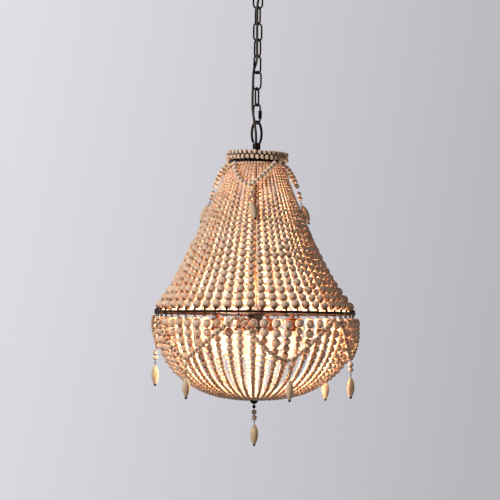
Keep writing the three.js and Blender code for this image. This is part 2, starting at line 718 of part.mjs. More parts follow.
// A drop hangs under the low point of its swag. On the shade it hangs a little way down the slope
// from there and lies against the strings.
function addDrops(name, family, garland, lowTurns, sagShares, drop, leans) {
  lowTurns.forEach((turn, i) => {
    const low = standOff(family, garland.low * sagShares[i], garlandReach(garland));
    const pivot = {
      radius: low.radius + garlandBead * garland.nestShare + clearance,
      height: low.height - garlandBead / 2 - clearance,
    };
    let lean = 0;
    if (leans) {
      const down = garlandBead * slopeHang.downShare;
      const out = garlandBead * slopeHang.outShare;
      pivot.radius = low.radius + low.along.x * down - low.along.z * out;
      pivot.height = low.height + low.along.z * down + low.along.x * out;
      lean = Math.max(...restingPoints(drop).map(([depth, reach]) => {
        const place = standOff(family, pivot.height - depth, reach + 2 * clearance);
        return Math.atan2(place.radius - pivot.radius, pivot.height - place.height);
      }));
    }
    const holder = new THREE.Group();
    holder.position.z = pivot.height;
    holder.rotation.z = facing(turn);
    fixture.add(holder);
    const mesh = addPiece(holder, `${name}_${i + 1}`, dropGeometry(drop), dropWood);
    mesh.position.x = pivot.radius;
    mesh.rotation.y = -lean;
  });
}
addDrops("upper_drop", shade, upperSwags, upperLowTurns, upperSagShares, upperDrop, true);
addDrops("lower_drop", basket, lowerSwags, lowerLowTurns, lowerSagShares, lowerDrop, false);
addPiece(fixture, "bottom_drop", dropGeometry(bottomDrop), dropWood, {
  height: bottomHubEnd - clearance,
});

export default model;
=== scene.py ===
# %% [markdown]
# # A beaded chandelier
# The chandelier hangs from a ceiling canopy on a chain. An iron ring carries strings of wooden
# beads: a flared shade goes up from it to a small crown, and a round basket goes down to a hub.
# Two beaded garlands with turned wooden drops lie over the strings, and four lamps glow inside.
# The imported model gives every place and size. Each piece here is made on top of it, with numpy.

# %% Load the frame
import json
import math

import bpy
import numpy as np
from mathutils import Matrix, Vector

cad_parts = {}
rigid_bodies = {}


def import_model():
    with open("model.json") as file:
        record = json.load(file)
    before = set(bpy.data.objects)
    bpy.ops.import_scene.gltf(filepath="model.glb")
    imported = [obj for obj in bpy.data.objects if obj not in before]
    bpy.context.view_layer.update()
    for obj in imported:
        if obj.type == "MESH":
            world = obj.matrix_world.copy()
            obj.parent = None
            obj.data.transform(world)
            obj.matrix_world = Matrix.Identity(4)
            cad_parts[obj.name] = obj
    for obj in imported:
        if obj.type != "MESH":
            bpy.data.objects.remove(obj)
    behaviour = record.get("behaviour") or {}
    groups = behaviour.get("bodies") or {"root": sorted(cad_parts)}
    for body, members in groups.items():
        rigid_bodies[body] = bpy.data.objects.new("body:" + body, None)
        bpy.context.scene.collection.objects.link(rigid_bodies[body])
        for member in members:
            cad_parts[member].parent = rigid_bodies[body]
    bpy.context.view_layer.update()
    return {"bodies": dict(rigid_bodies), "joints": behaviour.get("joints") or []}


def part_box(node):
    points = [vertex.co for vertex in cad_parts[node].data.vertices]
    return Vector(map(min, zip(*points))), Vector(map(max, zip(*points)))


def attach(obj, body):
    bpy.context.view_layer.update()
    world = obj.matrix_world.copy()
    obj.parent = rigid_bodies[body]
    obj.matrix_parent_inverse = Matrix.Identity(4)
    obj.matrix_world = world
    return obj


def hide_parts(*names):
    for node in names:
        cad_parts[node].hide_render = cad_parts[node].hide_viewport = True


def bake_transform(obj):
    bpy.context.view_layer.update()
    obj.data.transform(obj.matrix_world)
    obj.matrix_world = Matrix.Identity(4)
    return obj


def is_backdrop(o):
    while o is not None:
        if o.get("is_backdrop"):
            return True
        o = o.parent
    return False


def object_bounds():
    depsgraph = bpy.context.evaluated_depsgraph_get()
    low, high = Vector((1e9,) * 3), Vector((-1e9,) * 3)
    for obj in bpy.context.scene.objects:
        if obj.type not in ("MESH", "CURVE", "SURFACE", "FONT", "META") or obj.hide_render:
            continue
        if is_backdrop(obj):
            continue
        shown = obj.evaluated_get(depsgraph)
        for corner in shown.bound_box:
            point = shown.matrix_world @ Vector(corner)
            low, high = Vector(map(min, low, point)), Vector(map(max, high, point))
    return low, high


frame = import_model()
MM = 0.001

# %% [markdown]
# ## The camera
# The photograph was taken from four metres away and a little below the iron ring, looking slightly
# up, with a long lens, so the rings show as thin ellipses. The camera is rolled by half a degree,
# because the chain leans that much in the picture.

# %% Place the camera
camera_distance, camera_height, camera_aside = 4.0, -0.798, -0.0092
camera_pitch, camera_roll = 2.71, -0.57
lens, sensor_width = 144, 36


def show(name, data, place=(0, 0, 0)):
    """An object in the scene for a camera, a light or a mesh, at a place in metres."""
    thing = bpy.data.objects.new(name, data)
    thing.location = place
    bpy.context.scene.collection.objects.link(thing)
    return thing


camera_data = bpy.data.cameras.new("camera")
camera_data.lens, camera_data.sensor_width = lens, sensor_width
camera = show("camera", camera_data, (camera_aside, -camera_distance, camera_height))
camera.rotation_euler = (math.radians(90 + camera_pitch), math.radians(camera_roll), 0)
bpy.context.scene.camera = camera
print("camera at", [round(v, 3) for v in camera.location])

# %% [markdown]
# ## Helpers for shapes
# Nearly every piece here is a grid of points: rows along a profile or a path, columns round it.
# A turned piece takes a profile round the Z axis. A swept piece carries a flat section along a
# path. Both could be made with modifiers, but as whole arrays they are exact, closed and quick.
# They are worked out in millimetres and scaled when they become a mesh.

# %% Grids of points
def grid_quads(rows, columns, wrap_rows=False):
    """Quads of a grid whose columns close on themselves: each point with the next in its row and
    the two after them in the next row."""
    row = np.arange(rows if wrap_rows else rows - 1)[:, None] * columns
    following = (row + columns) % (rows * columns)
    column = np.arange(columns)
    right = (column + 1) % columns
    return np.stack([row + column, row + right, following + right, following + column],
                    -1).reshape(-1, 4)


def round_steps(count, start=0):
    """Equal steps of angle once round, in radians."""
    return (np.arange(count) + start) * 2 * math.pi / count


def polar(radius, angle, height):
    """Points at a radius, an angle and a height: (radius cos a, radius sin a, height)."""
    return np.stack([radius * np.cos(angle), radius * np.sin(angle), height], -1)


def end_fans(count, sides):
    """Triangles that close a tube of count points: its first row round the point that comes after
    them, and its last row round the next one."""
    column = np.arange(sides)
    right, last = (column + 1) % sides, count - sides
    return (np.stack([np.full(sides, count), right, column], -1),
            np.stack([np.full(sides, count + 1), last + column, last + right], -1))


# %% Shapes under way
def shell(points, *faces):
    """A shape under way: its points in millimetres and its arrays of faces."""
    return np.asarray(points, float).reshape(-1, 3), [np.asarray(f, int) for f in faces]


def together(shells):
    """Several shapes as one: each keeps its faces, counted on from the points before it."""
    points, faces, count = [], [], 0
    for place, parts in shells:
        points.append(place)
        faces += [part + count for part in parts]
        count += len(place)
    return np.concatenate(points), faces


def moved(shape, offset=(0, 0, 0), turn=0.0):
    """The shape turned about Z by an angle in degrees, then shifted."""
    points, faces = shape
    angle = math.radians(turn)
    spin = np.array([[math.cos(angle), math.sin(angle), 0],
                     [-math.sin(angle), math.cos(angle), 0], [0, 0, 1]])
    return points @ spin + np.asarray(offset, float), faces


# %% From a shape to a mesh
def make_mesh(name, shape, material, values=None, sharp=None):
    """The shape as a mesh in metres, with named values on its points. Edges that bend by more
    than sharp degrees stay crisp."""
    points, faces = shape
    mesh = bpy.data.meshes.new(name)
    mesh.vertices.add(len(points))
    mesh.vertices.foreach_set("co", (points * MM).astype(np.float32).ravel())
    corners = np.concatenate([part.ravel() for part in faces])
    sizes = np.concatenate([np.full(len(part), part.shape[1]) for part in faces])
    mesh.loops.add(len(corners))
    mesh.loops.foreach_set("vertex_index", corners.astype(np.int32))
    mesh.polygons.add(len(sizes))
    mesh.polygons.foreach_set("loop_start", (np.cumsum(sizes) - sizes).astype(np.int32))
    mesh.polygons.foreach_set("use_smooth", np.ones(len(sizes), bool))
    mesh.update(calc_edges=True)
    mesh.validate()
    if sharp:
        mesh.set_sharp_from_angle(angle=math.radians(sharp))
    for label, value in (values or {}).items():
        kind, key = ("FLOAT", "value") if value.ndim == 1 else ("FLOAT_VECTOR", "vector")
        layer = mesh.attributes.new(label, kind, "POINT")
        layer.data.foreach_set(key, value.astype(np.float32).ravel())
    mesh.materials.append(material)
    return mesh


def put(name, shape, material, body, replaces=(), values=None, sharp=None):
    """A piece of the finished object: it stands for its nodes, which it hides, carries its material
    and hangs on its body, if it is given one."""
    piece = show(name, make_mesh(name, shape, material, values, sharp))
    if replaces:
        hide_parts(*replaces)
    if body:
        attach(piece, body)
    return piece


# %% Turned pieces
def turned(profile, sides=48, closed=False, radius_at=None):
    """A surface of revolution: the point (radius, height) goes to (radius cos a, radius sin a,
    height). An open profile starts and ends on the axis, and each end becomes one point there.
    radius_at changes the radius with the angle, as on a hexagonal nut."""
    profile = np.asarray(profile, float)
    ring = profile if closed else profile[1:-1]
    angle = round_steps(sides)
    radius = np.repeat(ring[:, :1], sides, 1)
    if radius_at is not None:
        radius = radius_at(radius, angle)
    points = polar(radius, angle, np.repeat(ring[:, 1:], sides, 1)).reshape(-1, 3)
    quads = grid_quads(len(ring), sides, wrap_rows=closed)
    if closed:
        return shell(points, quads)
    ends = [[0, 0, profile[0, 1]], [0, 0, profile[-1, 1]]]
    return shell(np.concatenate([points, ends]), quads, *end_fans(len(points), sides))


def arc(centre, radius, start, end, steps):
    """Points of an arc in a profile: the centre plus the radius at equal steps of angle."""
    angle = np.radians(np.linspace(start, end, steps))
    return [(centre[0] + radius * math.cos(a), centre[1] + radius * math.sin(a)) for a in angle]


def pin(radius, bottom, top, across=0.4, along=0.4):
    """The profile of a round pin, with its two edges cut back by so much across and along."""
    return [(0, bottom), (radius - across, bottom), (radius, bottom + along),
            (radius, top - along), (radius - across, top), (0, top)]


# %% Swept pieces
def circle(radius, sides):
    """A round section: equal steps of angle at one radius."""
    return polar(radius, round_steps(sides), np.zeros(sides))[:, :2]


def swept(path, section, aside, closed=False, scale=None):
    """A section carried along a path. At each point the tangent comes from its neighbours, the
    first axis of the section is the part of aside that is square to it, and the second is the
    tangent crossed with the first. Open ends are closed by a fan to their middle."""
    path = np.asarray(path, float)
    if closed:
        along = np.roll(path, -1, 0) - np.roll(path, 1, 0)
    else:
        along = np.gradient(path, axis=0)
    along /= np.linalg.norm(along, axis=1, keepdims=True)
    first = np.broadcast_to(np.asarray(aside, float), path.shape)
    first = first - (first * along).sum(1, keepdims=True) * along
    first /= np.linalg.norm(first, axis=1, keepdims=True)
    second = np.cross(along, first)
    size = np.ones(len(path)) if scale is None else np.asarray(scale, float)
    points = (path[:, None] + size[:, None, None] * (
        section[None, :, :1] * first[:, None] + section[None, :, 1:] * second[:, None]))
    points = points.reshape(-1, 3)
    quads = grid_quads(len(path), len(section), wrap_rows=closed)
    if closed:
        return shell(points, quads)
    return shell(np.concatenate([points, path[[0, -1]]]), quads,
                 *end_fans(len(points), len(section)))


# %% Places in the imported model
def facing(turn):
    """The angle in radians of a turn in degrees: 0 is the front, -Y, and 90 is +X."""
    return np.radians(np.asarray(turn, float) - 90)


def outward(turn):
    """The level direction that a turn in degrees faces."""
    return np.array([math.cos(facing(turn)), math.sin(facing(turn)), 0])


def span(node):
    """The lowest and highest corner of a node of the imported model, in millimetres."""
    low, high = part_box(node)
    return np.array(low) / MM, np.array(high) / MM


def heights(node):
    """The heights of a node's foot and top, in millimetres."""
    low, high = span(node)
    return low[2], high[2]


ring_plane = sum(heights("wide_ring")) / 2
print("ring plane at", round(float(ring_plane), 1), "mm")

# %% [markdown]
# ## Helpers for materials
# A material is a small network of nodes round one Principled shader. These helpers make a node
# with its settings in one call and feed sockets by name, so that each finish reads as a recipe.
# Numbers and colours are set on a socket itself, and anything else is linked to it.

# %% Feed sockets
def feed(tree, socket, value):
    """Another socket, a number or a colour of three numbers into this socket."""
    if isinstance(value, bpy.types.NodeSocket):
        tree.links.new(value, socket)
    else:
        socket.default_value = (*value, 1) if socket.type == "RGBA" else value


def feed_all(tree, node, **inputs):
    """Feeds a node's inputs by name. Underscores stand for spaces."""
    for key, value in inputs.items():
        feed(tree, node.inputs[key.replace("_", " ")], value)


# %% Nodes in one call
def add(tree, kind, settings=None, **inputs):
    """A node of a kind, with its settings and its inputs."""
    node = tree.nodes.new(kind)
    for key, value in (settings or {}).items():
        setattr(node, key, value)
    feed_all(tree, node, **inputs)
    return node


def noise(tree, place, scale, detail=2.0, **more):
    """A cloudy pattern of numbers round 0.5."""
    return add(tree, "ShaderNodeTexNoise", Vector=place, Scale=scale, Detail=detail,
               **more).outputs[0]


def maths(tree, operation, *values):
    """The result of a sum with these values."""
    node = add(tree, "ShaderNodeMath", {"operation": operation})
    for socket, value in zip(node.inputs, values):
        feed(tree, socket, value)
    return node.outputs[0]


def mix_colour(tree, factor, first, second):
    """A colour between two others."""
    node = add(tree, "ShaderNodeMix", {"data_type": "RGBA"})
    for index, value in ((0, factor), (6, first), (7, second)):
        feed(tree, node.inputs[index], value)
    return node.outputs[2]


def map_range(tree, value, low, high, to_low=0.0, to_high=1.0):
    """A number moved from one range to another and kept inside it."""
    return add(tree, "ShaderNodeMapRange", {"clamp": True}, Value=value, From_Min=low,
               From_Max=high, To_Min=to_low, To_Max=to_high).outputs[0]


def bumped(tree, height, distance, strength):
    """The normal that a relief gives. The distance is in metres."""
    return add(tree, "ShaderNodeBump", Height=height, Distance=distance,
               Strength=strength).outputs[0]


# %% New materials and groups
def new_material(name):
    """A material with its tree and its shader."""
    material = bpy.data.materials.new(name)
    material.use_nodes = True
    return material, material.node_tree, material.node_tree.nodes["Principled BSDF"]


def new_group(name, inputs, outputs):
    """A shader node group with named sockets: its tree, what comes in, and its output node."""
    tree = bpy.data.node_groups.new(name, "ShaderNodeTree")
    for way, sockets in (("INPUT", inputs), ("OUTPUT", outputs)):
        for label, kind in sockets.items():
            tree.interface.new_socket(label, in_out=way, socket_type="NodeSocket" + kind)
    return tree, tree.nodes.new("NodeGroupInput").outputs, tree.nodes.new("NodeGroupOutput")


# %% [markdown]
# ## Wood
# The beads are bare, lightly sanded wood: pale, matt, with fine grain that runs along the hole and
# a slightly different tone on every bead. The grain lives in coordinates of the bead itself,
# which each piece stores on its points, so it turns with the bead instead of running across
# a whole string. A rim value paints shade on a bead towards its holes, where its neighbours keep
# the light out. The same group serves the turned drops, with warmer colours and longer grain.

# %% The wood grain group
wood_group, wood_in, wood_out = new_group(
    "wood_grain", {"Grain Place": "Vector", "Tone": "Float", "Rim": "Float",
                   "Light Wood": "Color", "Dark Wood": "Color", "Line Scale": "Float"},
    {"Color": "Color", "Roughness": "Float", "Height": "Float"})
# The rim colour is painted shade, the dark red-brown where neighbouring beads keep the light out.
pore_brown, rim_brown = (0.23, 0.12, 0.06), (0.13, 0.035, 0.012)
stretched = add(wood_group, "ShaderNodeMapping", Vector=wood_in["Grain Place"],
                Scale=(1.0, 1.0, 0.16)).outputs[0]
lines = noise(wood_group, stretched, wood_in["Line Scale"], 4.0, Roughness=0.6, Distortion=0.6)
blotch = noise(wood_group, wood_in["Grain Place"], 0.16)
pores = map_range(wood_group, noise(wood_group, stretched, 3.4), 0.60, 0.72, 0.0, 0.28)
depth = maths(wood_group, "MULTIPLY_ADD", map_range(wood_group, lines, 0.38, 0.66), 0.34,
              wood_in["Tone"])
clouded = maths(wood_group, "MULTIPLY_ADD", blotch, 0.35, depth)
wood_colour = mix_colour(wood_group, map_range(wood_group, clouded, 0.1, 1.25),
                         wood_in["Light Wood"], wood_in["Dark Wood"])
wood_colour = mix_colour(wood_group, pores, wood_colour, pore_brown)
# Painted shade towards the holes, as much as the rim value gives.
wood_colour = mix_colour(wood_group, wood_in["Rim"], wood_colour, rim_brown)
feed_all(wood_group, wood_out, Color=wood_colour, Height=lines,
         Roughness=map_range(wood_group, lines, 0.3, 0.7, 0.58, 0.74))
print("wood grain group:", len(wood_group.nodes), "nodes")

# %% [markdown]
# ## Two woods
# The beads are a pale wood and the drops a warmer one with longer grain. A little light also goes
# through the wood near its surface, which a subsurface share of one fifth gives, so the edges
# towards the lamps look warm. The colours of both are a light and a dark tone of the same wood.

# %% The two woods
def wood_material(name, light, dark, line_scale, specular):
    """Bare wood: the grain group gives colour, roughness and a fine relief."""
    material, tree, shader = new_material(name)
    marks = {label: add(tree, "ShaderNodeAttribute", {"attribute_name": label}).outputs
             for label in ("grain", "tone", "rim")}
    wood = add(tree, "ShaderNodeGroup", {"node_tree": wood_group}, Light_Wood=light,
               Dark_Wood=dark, Line_Scale=line_scale, Grain_Place=marks["grain"]["Vector"],
               Tone=marks["tone"]["Fac"], Rim=marks["rim"]["Fac"]).outputs
    feed_all(tree, shader, Base_Color=wood["Color"], Roughness=wood["Roughness"],
             Normal=bumped(tree, wood["Height"], 0.00025, 0.5), Specular_IOR_Level=specular,
             Subsurface_Weight=0.2, Subsurface_Radius=(1.0, 0.30, 0.10),
             Subsurface_Scale=3.0 * MM)
    return material


bead_wood = wood_material("bead_wood", (0.84, 0.67, 0.53), (0.54, 0.29, 0.155), 0.9, 0.3)
drop_wood = wood_material("drop_wood", (0.70, 0.55, 0.38), (0.50, 0.32, 0.18), 0.5, 0.4)
print("woods:", bead_wood.name, drop_wood.name)

# %% [markdown]
# ## Blackened iron
# The frame, the chain and the wires are iron with a thin dark coat. Up close it is not even: the
# coat is smoother in patches, a little brown shows through, and fine hammering leaves a soft
# relief. One flat black would look like plastic. The pattern is read from Object coordinates, so it
# stays on the metal. A warm red-brown of painted lamp light is mixed into the coat where the lamps
# light the iron: a little on the ring, more on the stem, the lower rod and the sockets.

# %% The iron group
iron_group, iron_in, iron_out = new_group(
    "blackened_iron", {"Place": "Vector", "Patch Scale": "Float"},
    {"Color": "Color", "Roughness": "Float", "Metallic": "Float", "Height": "Float"})
coat_black, coat_brown = (0.0025, 0.0017, 0.0016), (0.018, 0.006, 0.004)
# The last colour here is painted lamp light: the warm red-brown the lamps cast on iron near them.
speck_brown, painted_lamp_glow = (0.05, 0.02, 0.012), (0.30, 0.075, 0.022)
patches = noise(iron_group, iron_in["Place"], iron_in["Patch Scale"], 5.0, Roughness=0.62)
specks = noise(iron_group, iron_in["Place"], 900.0)
hammer = add(iron_group, "ShaderNodeTexVoronoi", Vector=iron_in["Place"], Scale=260.0)
worn = map_range(iron_group, patches, 0.52, 0.72)
iron_colour = mix_colour(iron_group, worn, coat_black, coat_brown)
iron_colour = mix_colour(iron_group, map_range(iron_group, specks, 0.64, 0.74, 0.0, 0.5),
                         iron_colour, speck_brown)
feed_all(iron_group, iron_out, Color=iron_colour,
         Roughness=map_range(iron_group, patches, 0.3, 0.7, 0.36, 0.62),
         Metallic=map_range(iron_group, worn, 0.0, 1.0, 0.25, 0.75),
         Height=maths(iron_group, "MULTIPLY_ADD", hammer.outputs["Distance"], 0.5, specks))
print("iron group:", len(iron_group.nodes), "nodes")


# %% The irons
def iron_material(name, patch_scale, relief_depth, lamp_glow=0.0):
    """Blackened iron, with the size of its patches, the depth of its relief in metres and the
    share of painted lamp light, a warm red-brown, that is mixed into its coat."""
    material, tree, shader = new_material(name)
    place = add(tree, "ShaderNodeTexCoord").outputs["Object"]
    iron = add(tree, "ShaderNodeGroup", {"node_tree": iron_group}, Place=place,
               Patch_Scale=patch_scale).outputs
    coat_and_lamp_glow = mix_colour(tree, lamp_glow, iron["Color"], painted_lamp_glow)
    feed_all(tree, shader, Base_Color=coat_and_lamp_glow, Roughness=iron["Roughness"],
             Metallic=iron["Metallic"], Normal=bumped(tree, iron["Height"], relief_depth, 0.6),
             Specular_IOR_Level=0.1)
    return material


black_iron = iron_material("black_iron", 38.0, 0.0003)
wire_iron = iron_material("wire_iron", 120.0, 0.0001)
# Painted lamp light in the coat: a little on the ring, more on the stem, rod and sockets.
ring_iron = iron_material("ring_iron", 38.0, 0.0003, lamp_glow=0.07)
lamp_glow_iron = iron_material("lamp_glow_iron", 38.0, 0.0003, lamp_glow=0.2)


def put_iron(name, shape, body, node, sharp=None, material=black_iron):
    """An iron piece in the place of one node."""
    return put(name, shape, material, body, [node], sharp=sharp)


print("irons:", [m.name for m in (black_iron, wire_iron, ring_iron, lamp_glow_iron)])

# %% [markdown]
# ## The supply cord
# A round cable in dark brown woven cloth leaves the canopy's collar, runs down beside the chain,
# passes through one link and enters the fixture's collar. It is made in two lengths, one from the
# canopy to the chain and one from the chain to the fixture. Each is a tube along listed points,
# joined by a smooth curve. Its weave is drawn in UV: two sets of threads that cross, each a wave
# along a slanted coordinate.

# %% The cord's route
cord_diameter = 5.0
upper_route = [
    (0, 0, -46.6), (0.6, 0, -56), (4.2, -0.4, -65), (6, -1.6, -75), (5.8, -4.6, -86),
    (3.2, -7.2, -97), (0.4, -8, -108), (-1.2, -7.9, -120), (-1.3, -7.8, -140),
    (-1.2, -7.7, -158), (-1.2, -7.7, -176), (-1.1, -7.7, -194), (-0.9, -7.7, -208),
    (-0.85, -7.7, -217)]
lower_route = [
    (-0.85, -7.7, -217.4), (-0.85, -7.4, -221), (-1, -6.2, -225), (-1.8, -4.7, -230),
    (-3, -3, -235), (-4.9, -1.4, -240), (-6.8, -0.7, -246), (-7.8, -0.8, -256),
    (-8.2, -1.3, -268), (-8.5, -1.8, -282), (-8.9, -2.2, -296), (-9, -2.8, -310),
    (-8.6, -4.4, -324), (-7, -7, -338), (-5, -8.6, -350), (-3.4, -6.8, -361), (-2, -3, -371),
    (-1.2, -0.8, -380), (-1, 0, -387), (-1, 0, -393.4)]


def smooth_route(route, steps=8):
    """A smooth curve through the points: between two of them it is a cubic, and its slope at each
    is half the way from the point before to the point after."""
    p = np.asarray(route, float)
    p = np.concatenate([2 * p[:1] - p[1:2], p, 2 * p[-1:] - p[-2:-1]])
    t = (np.arange(steps) / steps)[None, :, None]
    a, b, c, d = (p[i:len(p) - 3 + i, None] for i in range(4))
    curve = 0.5 * (2 * b + (c - a) * t + (2 * a - 5 * b + 4 * c - d) * t ** 2
                   + (3 * b - a - 3 * c + d) * t ** 3)
    return np.concatenate([curve.reshape(-1, 3), p[-2:-1]])


# %% The cord's cloth
thread_shadow, thread_brown = (0.008, 0.005, 0.004), (0.055, 0.034, 0.026)
fleck_brown = (0.12, 0.085, 0.07)


def cloth_material():
    """Woven cloth: two slanted waves make the threads, and the higher one shows."""
    material, tree, shader = new_material("cord_cloth")
    uv = add(tree, "ShaderNodeUVMap", {"uv_map": "weave"}).outputs[0]
    threads = []
    for slant in (45, -45):
        slanted = add(tree, "ShaderNodeMapping", Vector=uv, Rotation=(0, 0, math.radians(slant)))
        threads.append(add(tree, "ShaderNodeTexWave", {"wave_profile": "SIN"},
                           Vector=slanted.outputs[0], Scale=2.2, Distortion=0.4).outputs[1])
    higher = maths(tree, "MAXIMUM", *threads)
    thread_mask = map_range(tree, higher, 0.35, 1.0)
    fleck_mask = map_range(tree, noise(tree, uv, 2.0, 3.0), 0.55, 0.75, 0.0, 0.6)
    colour = mix_colour(tree, thread_mask, thread_shadow, thread_brown)
    feed_all(tree, shader, Base_Color=mix_colour(tree, fleck_mask, colour, fleck_brown),
             Roughness=map_range(tree, thread_mask, 0, 1, 0.95, 0.78), Sheen_Weight=0.25,
             Normal=bumped(tree, higher, 0.0004, 0.7))
    return material


cord_cloth = cloth_material()
print("cloth:", len(cord_cloth.node_tree.nodes), "nodes")

# %% The weave's coordinates
weave_step = 1.25


def lay_weave(piece, rows, sides):
    """UV in millimetres: across is the way round the cord, and up is one weave step a row. The
    faces that close the round take the full way round at their far side."""
    mesh = piece.data
    layer = mesh.uv_layers.new(name="weave")
    corner = np.zeros(len(mesh.loops), np.int32)
    mesh.loops.foreach_get("vertex_index", corner)
    on_side = corner < rows * sides
    column = np.where(on_side, corner % sides, 0).astype(float)
    row = np.where(on_side, corner // sides, 0).astype(float)
    starts = np.arange(rows * sides - sides) * 4
    seam = np.isin(np.arange(len(corner)) // 4 * 4, starts[sides - 1::sides])
    column = np.where(seam & (column == 0), sides, column)
    uv = np.stack([column / sides * math.pi * cord_diameter, row * weave_step], -1)
    layer.data.foreach_set("uv", uv.astype(np.float32).ravel())


# %% Make the cord
# Each length also lists two points of its own on the axis, given in metres.
cord_sides = 16
for label, route, upper_body, lower_body, bend in (
        ("upper", upper_route, "canopy", "chain", ((0, 0, -0.052), (0, 0, -0.125))),
        ("lower", lower_route, "chain", "fixture", ((0, 0, -0.330), (0, 0, -0.388)))):
    line = smooth_route(route)
    tube = swept(line, circle(cord_diameter / 2, cord_sides), aside=(1, 0, 0))
    cord = put(f"supply_cord_{label}_cloth", tube, cord_cloth, None, [f"supply_cord_{label}"])
    lay_weave(cord, len(line), cord_sides)
    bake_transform(cord)

# %% [markdown]
# ## Canopy and bracket
# The canopy is a spun iron cup that hides the wires at the ceiling. A cylinder with a bevel would
# look alike from below, but one closed profile, up the outside and down the inside, turned about
# the axis, gives its thin wall too. The bracket behind it is a flat bar with round corners, a
# threaded nipple in its middle and two pan-head screws into the ceiling box.

# %% The canopy
clearance = 0.3
canopy_low, canopy_high = span("canopy_shell")
canopy_radius, canopy_bottom = canopy_high[0], canopy_low[2]
canopy_wall, canopy_bend, nipple_radius = 1.6, 12.0, 5.0
lip_height, lip_cut = 0.8, 0.4
bend_middle = (canopy_radius - canopy_bend, canopy_bottom + canopy_bend)
canopy_bore = nipple_radius + clearance
put_iron("canopy_cup", turned([
    (canopy_bore, canopy_bottom), *arc(bend_middle, canopy_bend, -90, 0, 12),
    (canopy_radius, -lip_height), (canopy_radius - lip_cut, 0), (canopy_radius - canopy_wall, 0),
    *arc(bend_middle, canopy_bend - canopy_wall, 0, -90, 12),
    (canopy_bore, canopy_bottom + canopy_wall)], 96, closed=True),
    "canopy", "canopy_shell", sharp=35)
print("canopy radius", round(float(canopy_radius), 1), "mm")


# %% The bracket
def rounded_bar(length, width, corner, steps=6):
    """The outline of a flat bar with round corners, counterclockwise, about the origin."""
    x, y = length / 2 - corner, width / 2 - corner
    outline = []
    for cx, cy, start in ((x, y, 0), (-x, y, 90), (-x, -y, 180), (x, -y, 270)):
        outline += arc((cx, cy), corner, start, start + 90, steps)
    return np.array(outline)


def threaded(radius, bottom, top, pitch=1.0, depth=0.25):
    """The profile of a threaded rod: its radius drops by the depth twice in every pitch."""
    steps = int((top - bottom) / pitch * 2)
    height = np.linspace(bottom, top, steps)
    reach = radius - depth * (np.arange(steps) % 2)
    return [(0, bottom), *zip(reach, height), (0, top)]


bar_low, bar_high = span("mounting_bracket")
bar_length, bar_width = (bar_high - bar_low)[:2]
bar_thickness, bar_corner, bar_edge, edge_share, screw_place = 2.5, 5.0, 0.3, 0.99, 33.0
slab = swept([(0, 0, z) for z in (-bar_thickness, bar_edge - bar_thickness, -bar_edge, 0)],
             rounded_bar(bar_length, bar_width, bar_corner), aside=(1, 0, 0),
             scale=[edge_share, 1, 1, edge_share])
screw_head = turned([(0, -2.2), (2.4, -2.1), (3.6, -1.5), (4, -0.6), (4, 0), (0, 0)], 24)
screws = [moved(screw_head, (x, 0, -bar_thickness)) for x in (-screw_place, screw_place)]
nipple = turned(threaded(nipple_radius, bar_low[2], -bar_thickness), 32)
put_iron("bracket_bar", together([slab, nipple, *screws]), "canopy", "mounting_bracket", sharp=35)
print("bracket", round(float(bar_length), 1), "mm long")

# %% [markdown]
# ## Collars, loops, chain and quick link
# The same turned collar nut holds the canopy, upside down, and the fixture. A loop is an ellipse
# of round rod that stands on its collar. A chain link is two half circles joined by straight legs,
# with the small swelling of a weld half way up one leg. A stretched torus would bend its legs, so
# the path is written out and a round section swept along it. The quick link has a gap in one leg,
# threads beside it and a long hexagonal nut over them.

# %% The two collars
collar, collar_faces = turned([
    (0, 0), (5.6, 0), (6, 0.4), (6, 5.6), (6.5, 6.1), (7.6, 8.1), (8, 9), (8, 10.2), (7.7, 10.5),
    (7.7, 11.1), (8, 11.4), (8, 16.6), (7.7, 17.8), (6.9, 20), (0, 20)])
for body, flip, end in (("fixture", (1, 1, 1), 0), ("canopy", (1, -1, -1), 1)):
    place = (0, 0, heights(f"{body}_collar")[end])
    put_iron(f"{body}_collar_nut", moved((collar * flip, collar_faces), place), body,
             f"{body}_collar", sharp=35)
print("collar points:", len(collar))

# %% The two loops
loop_half_width, loop_half_height, loop_foot_depth, loop_wire = 10.7, 24.5, 18.7, 5.0
foot_trim = 0.02


def loop_shape(direction):
    """An ellipse of rod from foot to foot: width cos a and height sin a about its middle."""
    foot = math.asin(-loop_foot_depth / loop_half_height) + foot_trim
    angle = np.linspace(foot, math.pi - foot, 64)
    path = np.stack([loop_half_width * np.cos(angle), 0 * angle,
                     direction * (loop_foot_depth + loop_half_height * np.sin(angle))], -1)
    return swept(path if direction > 0 else path[::-1], circle(loop_wire / 2, 16), (0, 1, 0))


for body, direction, end, turn in (("canopy", -1, 1, 90), ("fixture", 1, 0, 25)):
    place = (0, 0, heights(f"{body}_loop")[end])
    put_iron(f"{body}_loop_rod", moved(loop_shape(direction), place, turn), body, f"{body}_loop")
print("loops", 2 * loop_half_width + loop_wire, "mm wide")

# %% The chain links
link_length, link_width, link_wire = 40.3, 22.0, 3.6
link_turns = [10, -60, 30, -50, 45, -35, 70]
leg_reach = (link_width - link_wire) / 2
bend_steps, leg_steps = 14, 8
weld_swell, weld_rows = 0.09, 0.9


def link_path(length, leg_steps):
    """Once round a link, the middle of its top rod at height 0: up the +X leg, over the top half
    circle, down the -X leg and round the bottom."""
    straight = length - link_wire - 2 * leg_reach
    leg = np.linspace(0, 1, leg_steps, endpoint=False)
    angle = np.linspace(0, math.pi, bend_steps, endpoint=False)
    rows = [(leg_reach + 0 * leg, -leg_reach - straight + straight * leg),
            (leg_reach * np.cos(angle), -leg_reach + leg_reach * np.sin(angle)),
            (-leg_reach + 0 * leg, -leg_reach - straight * leg),
            (-leg_reach * np.cos(angle), -leg_reach - straight - leg_reach * np.sin(angle))]
    x, z = (np.concatenate(part) for part in zip(*rows))
    return np.stack([x, 0 * x, z], -1)


